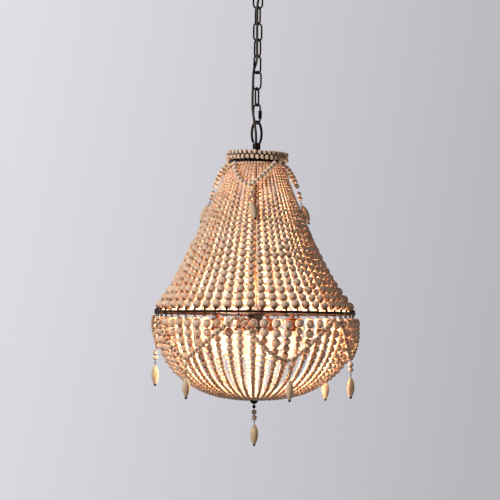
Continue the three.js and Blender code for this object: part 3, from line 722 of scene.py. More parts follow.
path = link_path(link_length, leg_steps)
weld_row = leg_steps + bend_steps + leg_steps // 2
weld = 1 + weld_swell * np.exp(-((np.arange(len(path)) - weld_row) / weld_rows) ** 2)
link_shape = swept(path, circle(link_wire / 2, 14), aside=(0, 1, 0), closed=True, scale=weld)
for number, turn in enumerate(link_turns, 1):
    place = (0, 0, heights(f"chain_link_{number}")[1] - link_wire / 2)
    put_iron(f"chain_ring_{number}", moved(link_shape, place, turn), "chain",
             f"chain_link_{number}")
print("chain links:", len(link_turns))

# %% The quick link
quick_length, quick_turn, quick_gap, nut_length, nut_radius = 43.6, -45, 7.0, 16.0, 3.8
thread_past_nut, thread_share = 1.5, 0.93
quick_top = heights("quick_link")[1] - link_wire / 2
nut_bottom, nut_top = heights("quick_link_nut")
gap_middle = (nut_bottom + nut_top) / 2 - quick_top


def on_leg(path, reach):
    """Which points of a link's path lie on its +X leg, within reach of the gap's middle."""
    return (path[:, 0] > leg_reach - 0.2) & (np.abs(path[:, 2] - gap_middle) < reach)


quick_path = link_path(quick_length, 44)
in_gap = on_leg(quick_path, quick_gap / 2)
# The path is rolled to start after the gap, so that what is left of it is one open run.
first_after = int(np.flatnonzero(in_gap)[-1]) + 1
quick_open = np.roll(quick_path, -first_after, 0)[:len(quick_path) - int(in_gap.sum())]
grooved = on_leg(quick_open, nut_length / 2 + thread_past_nut)
thread = np.where(grooved & (np.arange(len(quick_open)) % 2 == 0), thread_share, 1.0)
quick_shape = swept(quick_open, circle(link_wire / 2, 14), aside=(0, 1, 0), scale=thread)
put_iron("quick_link_rod", moved(quick_shape, (0, 0, quick_top), quick_turn), "chain",
         "quick_link", sharp=40)
print("quick link opens at", round(float(quick_top + gap_middle), 1), "mm")

# %% Its nut
nut_bore, nut_edge, bore_share = link_wire / 2 + clearance, 0.7, 0.7


def hexagonal(radius, angle):
    """The radius of a hexagon with its corners at the given radius, where that is past the bore:
    the flat's distance divided by the cosine of the angle from the middle of the flat."""
    from_flat = (angle % (math.pi / 3)) - math.pi / 6
    flats = radius * math.cos(math.pi / 6) / np.cos(from_flat)
    return np.where(radius > nut_radius * bore_share, flats, radius)


nut = turned([(nut_bore, 0), (nut_radius * 0.9, 0), (nut_radius, nut_edge),
              (nut_radius, nut_length - nut_edge), (nut_radius * 0.9, nut_length),
              (nut_bore, nut_length)], 36, closed=True, radius_at=hexagonal)
put_iron("quick_link_sleeve", moved(moved(nut, (leg_reach, 0, nut_bottom)), turn=quick_turn),
         "nut", "quick_link_nut", sharp=30)
print("nut from", round(float(nut_bottom), 1), "to", round(float(nut_top), 1), "mm")

# %% [markdown]
# ## The iron frame
# The crown is a flat band with two crossed bars. A stem joins it to a plate in the middle of the
# wide ring, four spokes run from the plate to the ring, and a thin rod goes down to the small
# round hub under the basket. Round parts are turned and bars and rods are swept, as a lathe and
# a rolling mill would make them. Pieces that are welded together are one mesh.

# %% The crown
first_lamp_turn, lamp_count = 71, 4
lamp_turns = [first_lamp_turn + 360 // lamp_count * number for number in range(lamp_count)]
crown_bottom, crown_top = heights("crown_band")
crown_radius, crown_wall, arm_width, arm_thickness, boss_radius, edge = 51.2, 3.0, 8.0, 3.0, 9.0, 0.4
outer, inner = crown_radius + crown_wall / 2, crown_radius - crown_wall / 2
band = turned([
    (inner, crown_bottom + edge), (inner + edge, crown_bottom), (outer - edge, crown_bottom),
    (outer, crown_bottom + edge), (outer, crown_top - edge), (outer - edge, crown_top),
    (inner + edge, crown_top), (inner, crown_top - edge)], 108, closed=True)
arm_bottom = crown_top - arm_thickness
boss = turned([(0, arm_bottom), (boss_radius, arm_bottom), (boss_radius, crown_top - edge),
               (boss_radius - edge, crown_top), (0, crown_top)], 40)


def flat_bar(turn, reach, width, thickness, top):
    """A flat bar through the axis: a rectangle with cut corners swept along a level line."""
    line = np.linspace(-reach, reach, 8)[:, None] * outward(turn)
    half, deep = width / 2, thickness / 2
    corner = [(half, -deep + edge), (half, deep - edge), (half - edge, deep), (-half + edge, deep)]
    section = np.array([*corner, *(-np.array(corner))])
    return swept(line + (0, 0, top - deep), section, aside=outward(turn - 90))


arms = [flat_bar(turn, crown_radius, arm_width, arm_thickness, crown_top)
        for turn in lamp_turns[:2]]
put_iron("crown_iron", together([band, boss, *arms]), "fixture", "crown_band", sharp=30)
print("crown", 2 * outer, "mm across")

# %% The wide ring
ring_radius, ring_rod, spoke_rod, plate_radius, plate_half = 198.0, 5.5, 6.0, 14.0, 3.0
spoke_in_plate, spoke_in_ring = 4.0, 1.0
ring_path = np.column_stack([circle(ring_radius, 216), np.full(216, ring_plane)])
ring_shape = swept(ring_path, circle(ring_rod / 2, 12), aside=(0, 0, 1), closed=True)
plate = turned(pin(plate_radius, -plate_half, plate_half, 0.5, 0.5))
spokes = []
for turn in lamp_turns:
    way = np.linspace(plate_radius - spoke_in_plate, ring_radius - spoke_in_ring, 12)[:, None]
    spokes.append(swept(way * outward(turn) + (0, 0, ring_plane), circle(spoke_rod / 2, 14),
                        aside=(0, 0, 1)))
put_iron("wide_ring_iron", together([ring_shape, moved(plate, (0, 0, ring_plane)), *spokes]),
         "fixture", "wide_ring", sharp=40, material=ring_iron)
print("ring", 2 * ring_radius + ring_rod, "mm across")


# %% Stem, cone, hub and rod
def put_turned(name, node, outline, sides=40, material=black_iron):
    """A turned piece in the place of its node. The outline takes the node's height and gives the
    profile over the node's foot."""
    foot, top = heights(node)
    put_iron(name, moved(turned(outline(top - foot), sides), (0, 0, foot)), "fixture", node, 32,
             material)


put_turned("stem_iron", "central_stem", lambda tall: pin(5, 0, tall), material=lamp_glow_iron)
put_turned("cone_iron", "hub_cone", lambda tall: [
    (0, 0), (19.6, 0), (20, 0.6), (19.6, 1.6), (13, 6.4), (8.6, 10.6), (6.2, tall - 0.6),
    (5.8, tall), (0, tall)])
put_turned("hub_iron", "hub_body", lambda tall: [
    (0, 0), (8.6, 0), (9, 0.5), (12.4, 4.6), (15.2, 8.2), (16, 10), (16, 16), (15.4, 16.6),
    (15.4, 17.6), (16, 18.2), (16, tall - 0.6), (15.4, tall), (0, tall)])
put_turned("lower_rod_iron", "lower_rod", lambda tall: pin(2.5, 0, tall, 0.2, 0.3), 20, lamp_glow_iron)

# %% The hub under the basket
bowl_radius, ball_radius, neck_radius = 9.0, 3.5, 1.6
bowl_wall_height, bowl_edge = 3.0, 0.5
foot_top = heights("bottom_hub")[1]


def hub_outline(tall):
    """A ball, a neck where the two arcs meet at one radius, and a bowl that ends in a low wall."""
    join = math.degrees(math.acos(neck_radius / bowl_radius))
    ball_join = math.degrees(math.acos(neck_radius / ball_radius))
    return [(0, 0), *arc((0, ball_radius), ball_radius, -80, ball_join, 12),
            *arc((0, tall - bowl_wall_height), bowl_radius, -join, 0, 14),
            (bowl_radius, tall - bowl_edge), (bowl_radius - bowl_edge, tall), (0, tall)]


put_turned("bottom_hub_iron", "bottom_hub", hub_outline)
print("bottom hub at", round(float(foot_top), 1), "mm")

# %% [markdown]
# ## Lamps and sockets
# Four sockets hang under the spokes, each with a short neck, a cap, a waist and a flared rim
# round the lamp's base. The lamps are small frosted globes. Each glows a little by its own
# material, and a soft point light sits in its middle, because a small bright mesh alone lights
# a scene with much more noise. Globe and socket cast no shadow, so that the light gets out and up
# the shade. One more point light, near the axis and a little above the ring, stands for the light
# that the shade's beads throw back and forth, which would need many more bounces.

# %% The sockets and the globes
lip, socket_top = heights("socket_1")
lamp_spread, bulb_base, bulb_depth = 79.0, 7.0, 19.0
tall = socket_top - lip
socket_shape = turned([
    (0, bulb_depth), (bulb_base + clearance, bulb_depth), (bulb_base + clearance, 0), (14.6, 0),
    (15, 0.5), (15, 4.6), (14.2, 5.4), (11.4, 7.8), (11, 8.6), (11, 19.6), (12.6, 20), (13, 20.6),
    (13, 24.6), (12, 26), (4.4, 26.4), (4, 27), (4, tall - 0.4), (3.7, tall), (0, tall)], 40)
globe_radius, globe_length = 20.0, 52.0
globe_middle = globe_radius - globe_length
globe_shape = turned([
    (0, -globe_length), *arc((0, globe_middle), globe_radius, -84, 0, 16),
    *[(radius, globe_middle + rise) for radius, rise in (
        (19.2, 5.6), (17.2, 10.4), (13.9, 15.6), (10.4, 21), (8.2, 26.4))],
    (bulb_base, -clearance), (bulb_base, bulb_depth - clearance), (0, bulb_depth - clearance)], 40)
print("socket", round(float(tall), 1), "mm tall, globe", 2 * globe_radius, "mm across")


# %% The lit glass
def lamp_material():
    """Lit frosted glass: whitest round the globe, warmer towards the neck."""
    material, tree, shader = new_material("lamp_glass")
    place = add(tree, "ShaderNodeTexCoord").outputs["Object"]
    height = add(tree, "ShaderNodeSeparateXYZ", Vector=place).outputs[2]
    rise = map_range(tree, height, (lip + globe_middle) * MM, lip * MM)
    cloud_mask = map_range(tree, noise(tree, place, 90.0), 0.3, 0.7, 0, 0.2)
    glow = mix_colour(tree, rise, (1.0, 0.84, 0.60), (1.0, 0.58, 0.26))
    feed_all(tree, shader, Emission_Color=mix_colour(tree, cloud_mask, glow, (1.0, 0.74, 0.46)),
             Emission_Strength=0.9, Base_Color=(0.20, 0.19, 0.17), Roughness=0.35)
    return material


lamp_glass = lamp_material()
print("glass:", len(lamp_glass.node_tree.nodes), "nodes")

# %% Hang the lamps
lamp_power, lamp_colour = 2.1, (1.0, 0.80, 0.59)
shade_glow_power, shade_glow_size, shade_glow_place = 4.4, 30.0, (0, -30, ring_plane + 40)


def inner_light(name, place, size, power):
    """A soft point light that hangs with the fixture, its place and radius in millimetres."""
    data = bpy.data.lights.new(name, "POINT")
    data.energy, data.color, data.shadow_soft_size = power, lamp_colour, size * MM
    show(name, data, np.array(place) * MM).parent = frame["bodies"]["fixture"]


for number, turn in enumerate(lamp_turns, 1):
    place = lamp_spread * outward(turn) + (0, 0, lip)
    socket = put_iron(f"lamp_socket_{number}", moved(socket_shape, place), "fixture",
                      f"socket_{number}", 32, lamp_glow_iron)
    globe = put(f"lamp_globe_{number}", moved(globe_shape, place), lamp_glass, f"lamp_{number}",
                [f"bulb_{number}"], sharp=50)
    socket.visible_shadow = globe.visible_shadow = False
    inner_light(f"lamp_light_{number}", place + (0, 0, globe_middle), globe_radius, lamp_power)
inner_light("shade_glow", shade_glow_place, shade_glow_size, shade_glow_power)
print("lamps at a radius of", lamp_spread, "mm")

# %% [markdown]
# ## Beads
# There are over three thousand beads, so the template has only a few dozen faces: a ball with a
# small hole through it, a touch wider than its step along the wire, as its facets cut the round
# short. Every bead is the template scaled to its size and turned so that its hole follows the
# wire. All the beads of a sector are worked out in one array operation. Each gets a tone, a turn
# about its hole, its own place in the grain and a rim of painted shade towards its holes, which is
# weak on small beads.

# %% The bead template
def bead_template(sides, rows, hole=0.16, swell=1.02):
    """A bead of radius 1: rows of latitude from hole to hole, closed through the hole."""
    rim_angle = math.acos(hole)
    latitude = np.linspace(-rim_angle, rim_angle, rows)
    profile = np.stack([swell * np.cos(latitude), np.sin(latitude)], -1)
    return turned(profile, sides, closed=True)


# How dark the painted shade at a bead's holes gets, where it starts and how wide it is.
rim_depth, rim_start, rim_width = 0.92, 0.54, 0.36
weak_rim_bead, full_rim_bead, weakest_rim = 5, 9, 0.1
grain_reach = 500
fine_bead, plain_bead = bead_template(12, 7), bead_template(8, 6)
print("bead faces:", len(fine_bead[1][0]), "and", len(plain_bead[1][0]))


# %% Clouds of beads
def bead_cloud(centres, axes, diameters, rng, template, tones=(0.0, 0.6)):
    """Copies of the template: centre + radius (x across + y beside + z along the hole), where
    across is square to the hole and turned about it by chance. Gives the shape and its values."""
    points, faces = template
    count, size = len(centres), len(points)
    axes = axes / np.linalg.norm(axes, axis=1, keepdims=True)
    helper = np.where(np.abs(axes[:, 2:]) > 0.9, [[1.0, 0, 0]], [[0, 0, 1.0]])
    across = np.cross(axes, helper)
    across /= np.linalg.norm(across, axis=1, keepdims=True)
    beside = np.cross(axes, across)
    roll = rng.uniform(0, 2 * math.pi, (count, 1))
    first = across * np.cos(roll) + beside * np.sin(roll)
    second = np.cross(axes, first)
    local = (diameters / 2)[:, None, None] * points[None]
    place = (centres[:, None] + local[..., :1] * first[:, None] + local[..., 1:2] * second[:, None]
             + local[..., 2:] * axes[:, None])
    tone = np.repeat(tones[0] + rng.beta(2.0, 2.4, count) * (tones[1] - tones[0]), size)
    grain = (local + rng.uniform(-grain_reach, grain_reach, (count, 1, 3))).reshape(-1, 3)
    rim = np.clip((np.abs(points[:, 2]) - rim_start) / rim_width, 0, 1)
    depth = rim_depth * np.clip(
        (diameters - weak_rim_bead) / (full_rim_bead - weak_rim_bead), weakest_rim, 1)
    copies = [(face[None] + (np.arange(count) * size)[:, None, None]).reshape(-1, face.shape[1])
              for face in faces]
    values = {"tone": tone, "grain": grain, "rim": (depth[:, None] * rim).ravel()}
    return (place.reshape(-1, 3), copies), values


# %% One piece of many beads
def put_beads(name, centres, axes, diameters, rng, node, fine_from=11.5, tones=(0.0, 0.6)):
    """One piece of many beads, the large ones with more faces than the small ones."""
    large = diameters >= fine_from
    clouds = [bead_cloud(centres[chosen], axes[chosen], diameters[chosen], rng, template, tones)
              for chosen, template in ((large, fine_bead), (~large, plain_bead)) if chosen.any()]
    values = {label: np.concatenate([cloud[1][label] for cloud in clouds])
              for label in clouds[0][1]}
    put(name, together([cloud[0] for cloud in clouds]), bead_wood, "fixture", [node], values)


# %% [markdown]
# ## The curves of the strings
# All the strings of the shade hang in one curve, and all those of the basket in another. Each is a
# cubic curve in the plane through the axis, given by its two ends and two pulls. A dense table of
# it gives radius and height at any distance along it, and the garlands use the same table to
# find the surface of the strings at any height.

# %% A curve of radius and height
class StringCurve:
    """A cubic curve of (radius, height): the share t of the way takes (1-t)^3, 3(1-t)^2 t,
    3(1-t) t^2 and t^3 parts of its start, two pulls and end."""

    def __init__(self, start, start_pull, end_pull, end):
        t = np.linspace(0, 1, 4001)[:, None]
        self.table = ((1 - t) ** 3 * start + 3 * (1 - t) ** 2 * t * start_pull
                      + 3 * (1 - t) * t ** 2 * end_pull + t ** 3 * end)
        step = np.linalg.norm(np.diff(self.table, axis=0), axis=1)
        self.distance = np.concatenate([[0], np.cumsum(step)])
        self.length = self.distance[-1]
        slope = np.gradient(self.table, axis=0)
        self.slope = slope / np.linalg.norm(slope, axis=1, keepdims=True)

    def look_up(self, value, key):
        """Radius, height and slope where the key reaches the value."""
        columns = (self.table[:, 0], self.table[:, 1], self.slope[:, 0], self.slope[:, 1])
        return [np.interp(value, key, column) for column in columns]

    def at(self, distance):
        """Radius, height and slope at distances along the curve."""
        return self.look_up(distance, self.distance)

    def off(self, height, reach):
        """The point that stands off the curve by reach, seen from the place at a height."""
        radius, down, along_r, along_z = self.look_up(-height, -self.table[:, 1])
        return radius - along_z * reach, down + along_r * reach


# %% The two curves
tie_space, string_end_drop = 1.0, 1.5
tie_offset = ring_rod / 2 + clearance + tie_space
shade_top = np.array([crown_radius, crown_bottom - clearance])
shade_foot = np.array([ring_radius, ring_plane + tie_offset])
wide, tall = shade_foot[0] - shade_top[0], shade_top[1] - shade_foot[1]
shade_curve = StringCurve(shade_top, shade_top + (0.300 * wide, -0.365 * tall),
                          shade_foot + (-0.370 * wide, 0.19 * tall), shade_foot)
basket_top = np.array([ring_radius, ring_plane - tie_offset])
basket_foot = np.array([bowl_radius + clearance, foot_top - string_end_drop])
wide, tall = basket_top[0] - basket_foot[0], basket_top[1] - basket_foot[1]
basket_curve = StringCurve(basket_top, basket_top + (0.005 * wide, -0.5 * tall),
                           basket_foot + (0.744 * wide, -0.006 * tall), basket_foot)
print("string lengths:", round(shade_curve.length), "and", round(basket_curve.length), "mm")

# %% [markdown]
# ## Threading the strings
# From the ring upwards a string has three beads of 18 mm, six of 15 mm, five of 12 mm, a few of 10
# and 8 mm and then small ones of 6 mm up to the crown. From the ring down it starts with two of
# 18 mm. No two strings are quite alike: the counts differ by one here and there, sizes by about
# three hundredths, and each string hangs a little to one side, because it is threaded and tied by
# hand. Near the hub there is no room for all of them side by side, so they pile up in three layers.

# %% Sizes along one string
shade_sizes, shade_counts = [18, 15, 12, 10, 8], [3, 6, 5, 3, 2]
basket_sizes, basket_counts = [18, 15, 12, 10, 8], [2, 3, 2, 4, 16]
seed_bead = 5.9
string_size_change, bead_size_change, start_slack = 0.035, 0.025, 1.6
layer_count, layer_height, layer_reach, layer_full_reach = 3, 4.5, 70.0, 20.0


def thread_string(length, start, sizes, counts, rng):
    """The diameters and centre distances from the ring: graded beads first, then seed beads
    until the string is full. What is left over is shared out between them."""
    spare = rng.integers(-1, 2, len(counts)) * (rng.random(len(counts)) < 0.5)
    graded = np.repeat(sizes, np.maximum(np.array(counts) + spare, 1)).astype(float)
    graded = graded * rng.normal(1, string_size_change) * rng.normal(
        1, bead_size_change, len(graded))
    start = start + abs(rng.normal(0, start_slack))
    seeds = np.full(max(int((length - start - graded.sum()) / seed_bead), 0), seed_bead)
    diameters = np.concatenate([graded, seeds])
    gap = (length - start - diameters.sum()) / len(diameters)
    return diameters, start + np.cumsum(diameters + gap) - diameters / 2


def piled(reach, number):
    """How far a string is lifted near the hub: one layer in three, and the lift eases in as
    3 s^2 - 2 s^3 of the share s of the way in."""
    share = np.clip((layer_reach - reach) / (layer_reach - layer_full_reach), 0, 1)
    return (number % layer_count) * layer_height * (3 * share ** 2 - 2 * share ** 3)


# %% Hang the strings of a sector
sway_turn, tie_turn_change, sway_reach = 0.28, 0.08, 0.6


def hang_strings(curve, from_end, start, sizes, counts, lean, turns, rng):
    """Centres, hole directions and diameters of the beads on the strings at these turns. Each
    string sways aside and outward by chance as the sine of its length, and all lean aside."""
    centres, axes, every = [], [], []
    for number, turn in enumerate(turns):
        diameters, distance = thread_string(curve.length, start(turn), sizes, counts, rng)
        reach, height, along_r, along_z = curve.at(
            curve.length - distance if from_end else distance)
        share = distance / curve.length
        swell = np.sin(math.pi * share)
        angle = facing(turn + (rng.normal(0, sway_turn) * swell + rng.normal(0, tie_turn_change)))
        if not from_end:
            height = height + piled(reach, number)
        reach = reach + rng.normal(0, sway_reach) * swell
        centres.append(polar(reach, angle, height))
        centres[-1][:, 0] += lean(share)
        axes.append(polar(along_r, angle, along_z))
        every.append(diameters)
    return np.concatenate(centres), np.concatenate(axes), np.concatenate(every)


# %% How the strings start and lean
strand_count, first_strand_turn, back_shift = 54, -2.6, 1.87
sector_count = 6
shade_wire, basket_wire, basket_wire_front = 2.6, 0.5, 7.2
back_share, front_share = -0.6, 0.5
shade_lean_most, basket_lean_most, full_lean_share, lean_power = -3.2, 4.5, 0.06, 0.8


def strand_turn(number):
    """The turn of a string. The strings at the back are tied a little further round, so that
    they fill the gaps of the front ones."""
    turn = first_strand_turn + np.asarray(number) * (360 / strand_count)
    return turn + back_shift * (1 - np.cos(np.radians(turn))) / 2


def shade_start(turn):
    """The bare wire between the ring's tie and the first bead above it."""
    return shade_wire


def basket_start(turn):
    """The bare wire under the ring, longest at the front: it grows with the cosine of the turn
    from the back share to the front share of it."""
    share = (math.cos(math.radians(turn)) - back_share) / (front_share - back_share)
    return basket_wire + basket_wire_front * min(max(share, 0), 1)


def shade_lean(share):
    """How far the shade's strings lean aside, most at half their length."""
    return shade_lean_most * np.sin(math.pi * share)


def basket_lean(share):
    """How far the basket's strings lean aside, most just under the ring."""
    return basket_lean_most * np.minimum(share / full_lean_share, 1) * (1 - share) ** lean_power


# %% The shade and the basket
rng = np.random.default_rng(54)
sector_strings = strand_count // sector_count
bead_total = 0
for sector in range(sector_count):
    turns = strand_turn(sector * sector_strings + np.arange(sector_strings))
    for label, *plan in (
            ("shade", shade_curve, True, shade_start, shade_sizes, shade_counts, shade_lean),
            ("basket", basket_curve, False, basket_start, basket_sizes, basket_counts,
             basket_lean)):
        centres, axes, diameters = hang_strings(*plan, turns, rng)
        bead_total += len(diameters)
        put_beads(f"{label}_beads_{sector + 1}", centres, axes, diameters, rng,
                  f"{label}_strings_{sector + 1}")
print("beads on the strings:", bead_total)

# %% [markdown]
# ## Wires and eyes
# Each string is threaded on a thin black wire. At the ring the wire is bent round the rod and
# wound four times round itself above it, and below the ring it hangs in a small open eye. These
# are small, but they make the dark marks along the ring that show from a step away.

# %% String wires
wire_radius = 0.45
strand_turns = strand_turn(np.arange(strand_count))


def at_each_string(shape):
    """Copies of a shape that lies along +X, one at the turn of each string."""
    return [moved(shape, turn=turn - 90) for turn in strand_turns]


wires = []
for curve in (shade_curve, basket_curve):
    reach, height, _, _ = curve.at(np.linspace(0, curve.length, 26))
    line = np.stack([reach, 0 * reach, height], -1)
    wires += at_each_string(swept(line, circle(wire_radius, 5), aside=(0, 1, 0)))
put("string_wires", together(wires), wire_iron, "fixture")
print("wires:", len(wires))


# %% Eyes at the ring
def torus(major, minor, steps, sides, axis):
    """A closed ring of wire: a circle about the X or the Y axis, with a round section."""
    angle = round_steps(steps)
    zero = 0 * angle
    a, b = major * np.cos(angle), major * np.sin(angle)
    path, aside = {"x": ((zero, a, b), (1, 0, 0)), "y": ((a, zero, -b), (0, 1, 0))}[axis]
    return swept(np.stack(path, -1), circle(minor, sides), aside, closed=True)


coil_count, coil_pitch, coil_radius, coil_groove, coil_start = 4, 1.1, 2.3, 0.35, 0.1
eye_radius, eye_wire, eye_drop = 2.5, 0.55, 6.0
rod_loop = moved(torus(ring_rod / 2 + clearance, wire_radius, 14, 6, "y"),
                 (ring_radius, 0, ring_plane))
coil_top = coil_count * coil_pitch
coil_profile = [(0, 0)]
for number in range(coil_count):
    coil_profile += [(coil_radius - coil_groove, number * coil_pitch + coil_start),
                     (coil_radius, (number + 0.5) * coil_pitch)]
coil_profile += [(coil_radius - 0.5, coil_top), (0, coil_top)]
winding = moved(turned(coil_profile, 9), (ring_radius, 0, ring_plane + ring_rod / 2))
hanging_eye = moved(torus(eye_radius, eye_wire, 14, 5, "x"),
                    (ring_radius, 0, ring_plane - eye_drop))
eye_set = together([rod_loop, winding, hanging_eye])
put("ring_eyes", together(at_each_string(eye_set)), wire_iron, "fixture")
print("eyes at", round(float(ring_plane - eye_drop), 1), "mm")

# %% [markdown]
# ## Crown rows and garlands
# Two rows of beads hide the crown's band. They hang a little lower on the right, because they are
# tied on by hand. The garlands are strings of slightly larger beads that hang in swags: the height
# over the angle is a power of the distance from the low point, and every arm of a swag has its own
# power, so some arms are nearly straight and others sag. The strings' own curve gives the radius,
# so the swags lie on the beads behind them.

# %% Crown rows
row_bead, row_count, row_aside, row_tilt, row_space = 9.4, 38, 1.5, 0.03, 1.0
row_drop = 1.0
row_scatter, row_sag, row_swing, row_bead_share, row_bead_change = 0.3, 0.4, 0.12, 0.96, 0.02
# Paler tones for the crown rows and upper garland: painted light, where the window light catches
# them.
garland_fine_from, painted_light_tones = 8, (-0.2, 0.15)
row_radius = outer + clearance + row_bead / 2 + row_space
for number, label in enumerate(("upper", "lower")):
    angle = round_steps(row_count, number / 2)
    reach = row_radius + rng.normal(0, row_scatter, row_count)
    height = sum(heights(f"crown_row_{label}")) / 2 + number * row_drop
    height = height + rng.normal(0, row_sag, row_count)
    height = height - row_tilt * reach * np.cos(angle)
    centres = polar(reach, angle, height)
    centres[:, 0] += row_aside
    axes = np.stack([-np.sin(angle), np.cos(angle), rng.normal(0, row_swing, row_count)], -1)
    diameters = row_bead * rng.normal(row_bead_share, row_bead_change, row_count)
    put_beads(f"crown_beads_{label}", centres, axes, diameters, rng, f"crown_row_{label}",
              garland_fine_from, painted_light_tones)
print("crown beads:", 2 * row_count)

# %% Swags
# Each swag: the turn where it starts, the turn of its low point, the turn where it ends, the powers
# of its two arms, the share of the usual depth that it has, and how far it stands off in its middle.
garland_bead, garland_bead_change = 10.0, 0.025
upper_swags = [(-43, -6.5, 37, 1.9, 0.85, 1, 0), (42, 90, 130, 0.42, 0.6, 1, 0),
               (140, 180, 220, 0.8, 0.8, 1, 0), (230, 270, 304, 0.6, 0.5, 1, 2)]
lower_swags = [(-7.5, 20.5, 47, 2.0, 1.15, 1.06, 0), (51, 81, 103, 2.1, 1.4, 1.02, 0),
               (105, 129, 164, 1.4, 1.4, 1.115, 0), (166, 200, 230, 1.4, 1.4, 0.97, 0),
               (232, 260.5, 290, 1.5, 0.8, 0.79, -8), (295, 317, 350.5, 1.65, 1.25, 1.03, 0)]


def swag_arm(curve, low_turn, tie_turn, low, tie, power, reach, proud, steps=160):
    """Points of one arm, from the low point to the tie: the share s of the way round goes with
    the height low + (tie - low) s^power, and the radius follows the strings."""
    share = np.linspace(0, 1, steps) ** max(1, 1 / power)
    angle = facing(low_turn + (tie_turn - low_turn) * share)
    lift = share ** power
    radius, height = curve.off(low + (tie - low) * lift, reach)
    radius = radius + proud * np.sin(math.pi * np.clip(lift * 0.9 + 0.1, 0, 1))
    return polar(radius, angle, height)


# %% Beads along a line
def beads_along(line, bead):
    """Centres and directions of beads at equal steps along a line."""
    step = np.linalg.norm(np.diff(line, axis=0), axis=1)
    run = np.concatenate([[0], np.cumsum(step)])
    count = round(run[-1] / bead)
    place = (np.arange(count) + 0.5) * run[-1] / count
    slope = np.gradient(line, axis=0)
    return [np.stack([np.interp(place, run, values[:, k]) for k in range(3)], -1)
            for values in (line, slope)]


# %% Garlands
# Each garland: its curve, the heights of its ties, of its low points and of the level that the
# depth is counted from, how far it stands off, its swags, the size of its beads and their tones.
# The lower garland's darker tones are painted shade, as the lamps' light does not reach its front.
garland_plan = {
    "upper": (shade_curve, crown_top - 26, crown_top - 75, crown_top, 11.0, upper_swags, 1.04,
              painted_light_tones),
    "lower": (basket_curve, ring_plane - 9, ring_plane - 82, ring_plane, 12.8, lower_swags, 0.97,
              (0.2, 0.6))}
for label, (curve, tie, low, level, reach, swags, size_share, tones) in garland_plan.items():
    beads = []
    for start_turn, low_turn, end_turn, start_power, end_power, depth, proud in swags:
        deep = level + (low - level) * depth
        for tie_turn, power in ((start_turn, start_power), (end_turn, end_power)):
            arm = swag_arm(curve, low_turn, tie_turn, deep, tie, power, reach, proud)
            beads.append(beads_along(arm, garland_bead))
    centres, axes = (np.concatenate(part) for part in zip(*beads))
    diameters = garland_bead * rng.normal(size_share, garland_bead_change, len(centres))
    put_beads(f"{label}_garland_beads", centres, axes, diameters, rng, f"{label}_garland",
              garland_fine_from, tones)
    print(label, "garland:", len(centres), "beads")

# %% [markdown]
# ## Drops
# A drop is two small beads and a turned spindle on wire. The wire is bent into two small eyes
# that hold each other between beads and spindle, and it is knotted under the spindle's foot. Each
# drop hangs at its own hinge, so each is a set of pieces that ride on the drop's body. The drops on
# the shade lean out, because they lie on the strings.

# %% The shape of a drop
# For each kind: the bead's diameter, the gap that the eyes bridge, the spindle's length and radius.
drop_sizes = {"upper": (9.4, 9.0, 41.0, 7.6), "lower": (10.0, 9.0, 42.0, 7.6),
              "bottom": (11.0, 7.0, 43.0, 7.9)}
neck, tip = 1.6, 1.2
pin_wire, loop_wire_radius, loop_share, loop_most = 0.6, 0.5, 0.62, 2.2
belly_shift, belly_power = 1.04, 0.68
drop_bead_share, drop_bead_change = 0.98, 0.015
# The same painted rim shade as on the beads darkens the spindle at its two ends.
spindle_rim, spindle_rim_start, spindle_rim_width = 0.7, 0.88, 0.1


def spindle_shape(length, radius):
    """A turned spindle: the radius is a power of the sine along it, fullest over its middle."""
    share = np.linspace(0.015, 0.985, 22)
    reach = radius * np.sin(math.pi * share ** belly_shift) ** belly_power
    return turned([(0, 0), *zip(reach, share * length), (0, length)], 24)


def wire_pin(bottom, top, sides=8, radius=pin_wire):
    """A short straight wire on the axis."""
    return turned([(0, bottom), (radius, bottom), (radius, top), (0, top)], sides)


def hung(shape, pivot, turn, lean, aside=0.0):
    """The shape, which hangs down from the origin, leaned aside and outward, then moved to its
    pivot. Both leans are in degrees."""
    points, faces = shape
    c, s = math.cos(math.radians(aside)), math.sin(math.radians(aside))
    points = points @ np.array([[1, 0, 0], [0, c, -s], [0, s, c]])
    c, s = math.cos(math.radians(lean)), math.sin(math.radians(lean))
    leaned = points @ np.array([[c, 0, s], [0, 1, 0], [-s, 0, c]])
    return moved((leaned, faces), pivot, turn - 90)


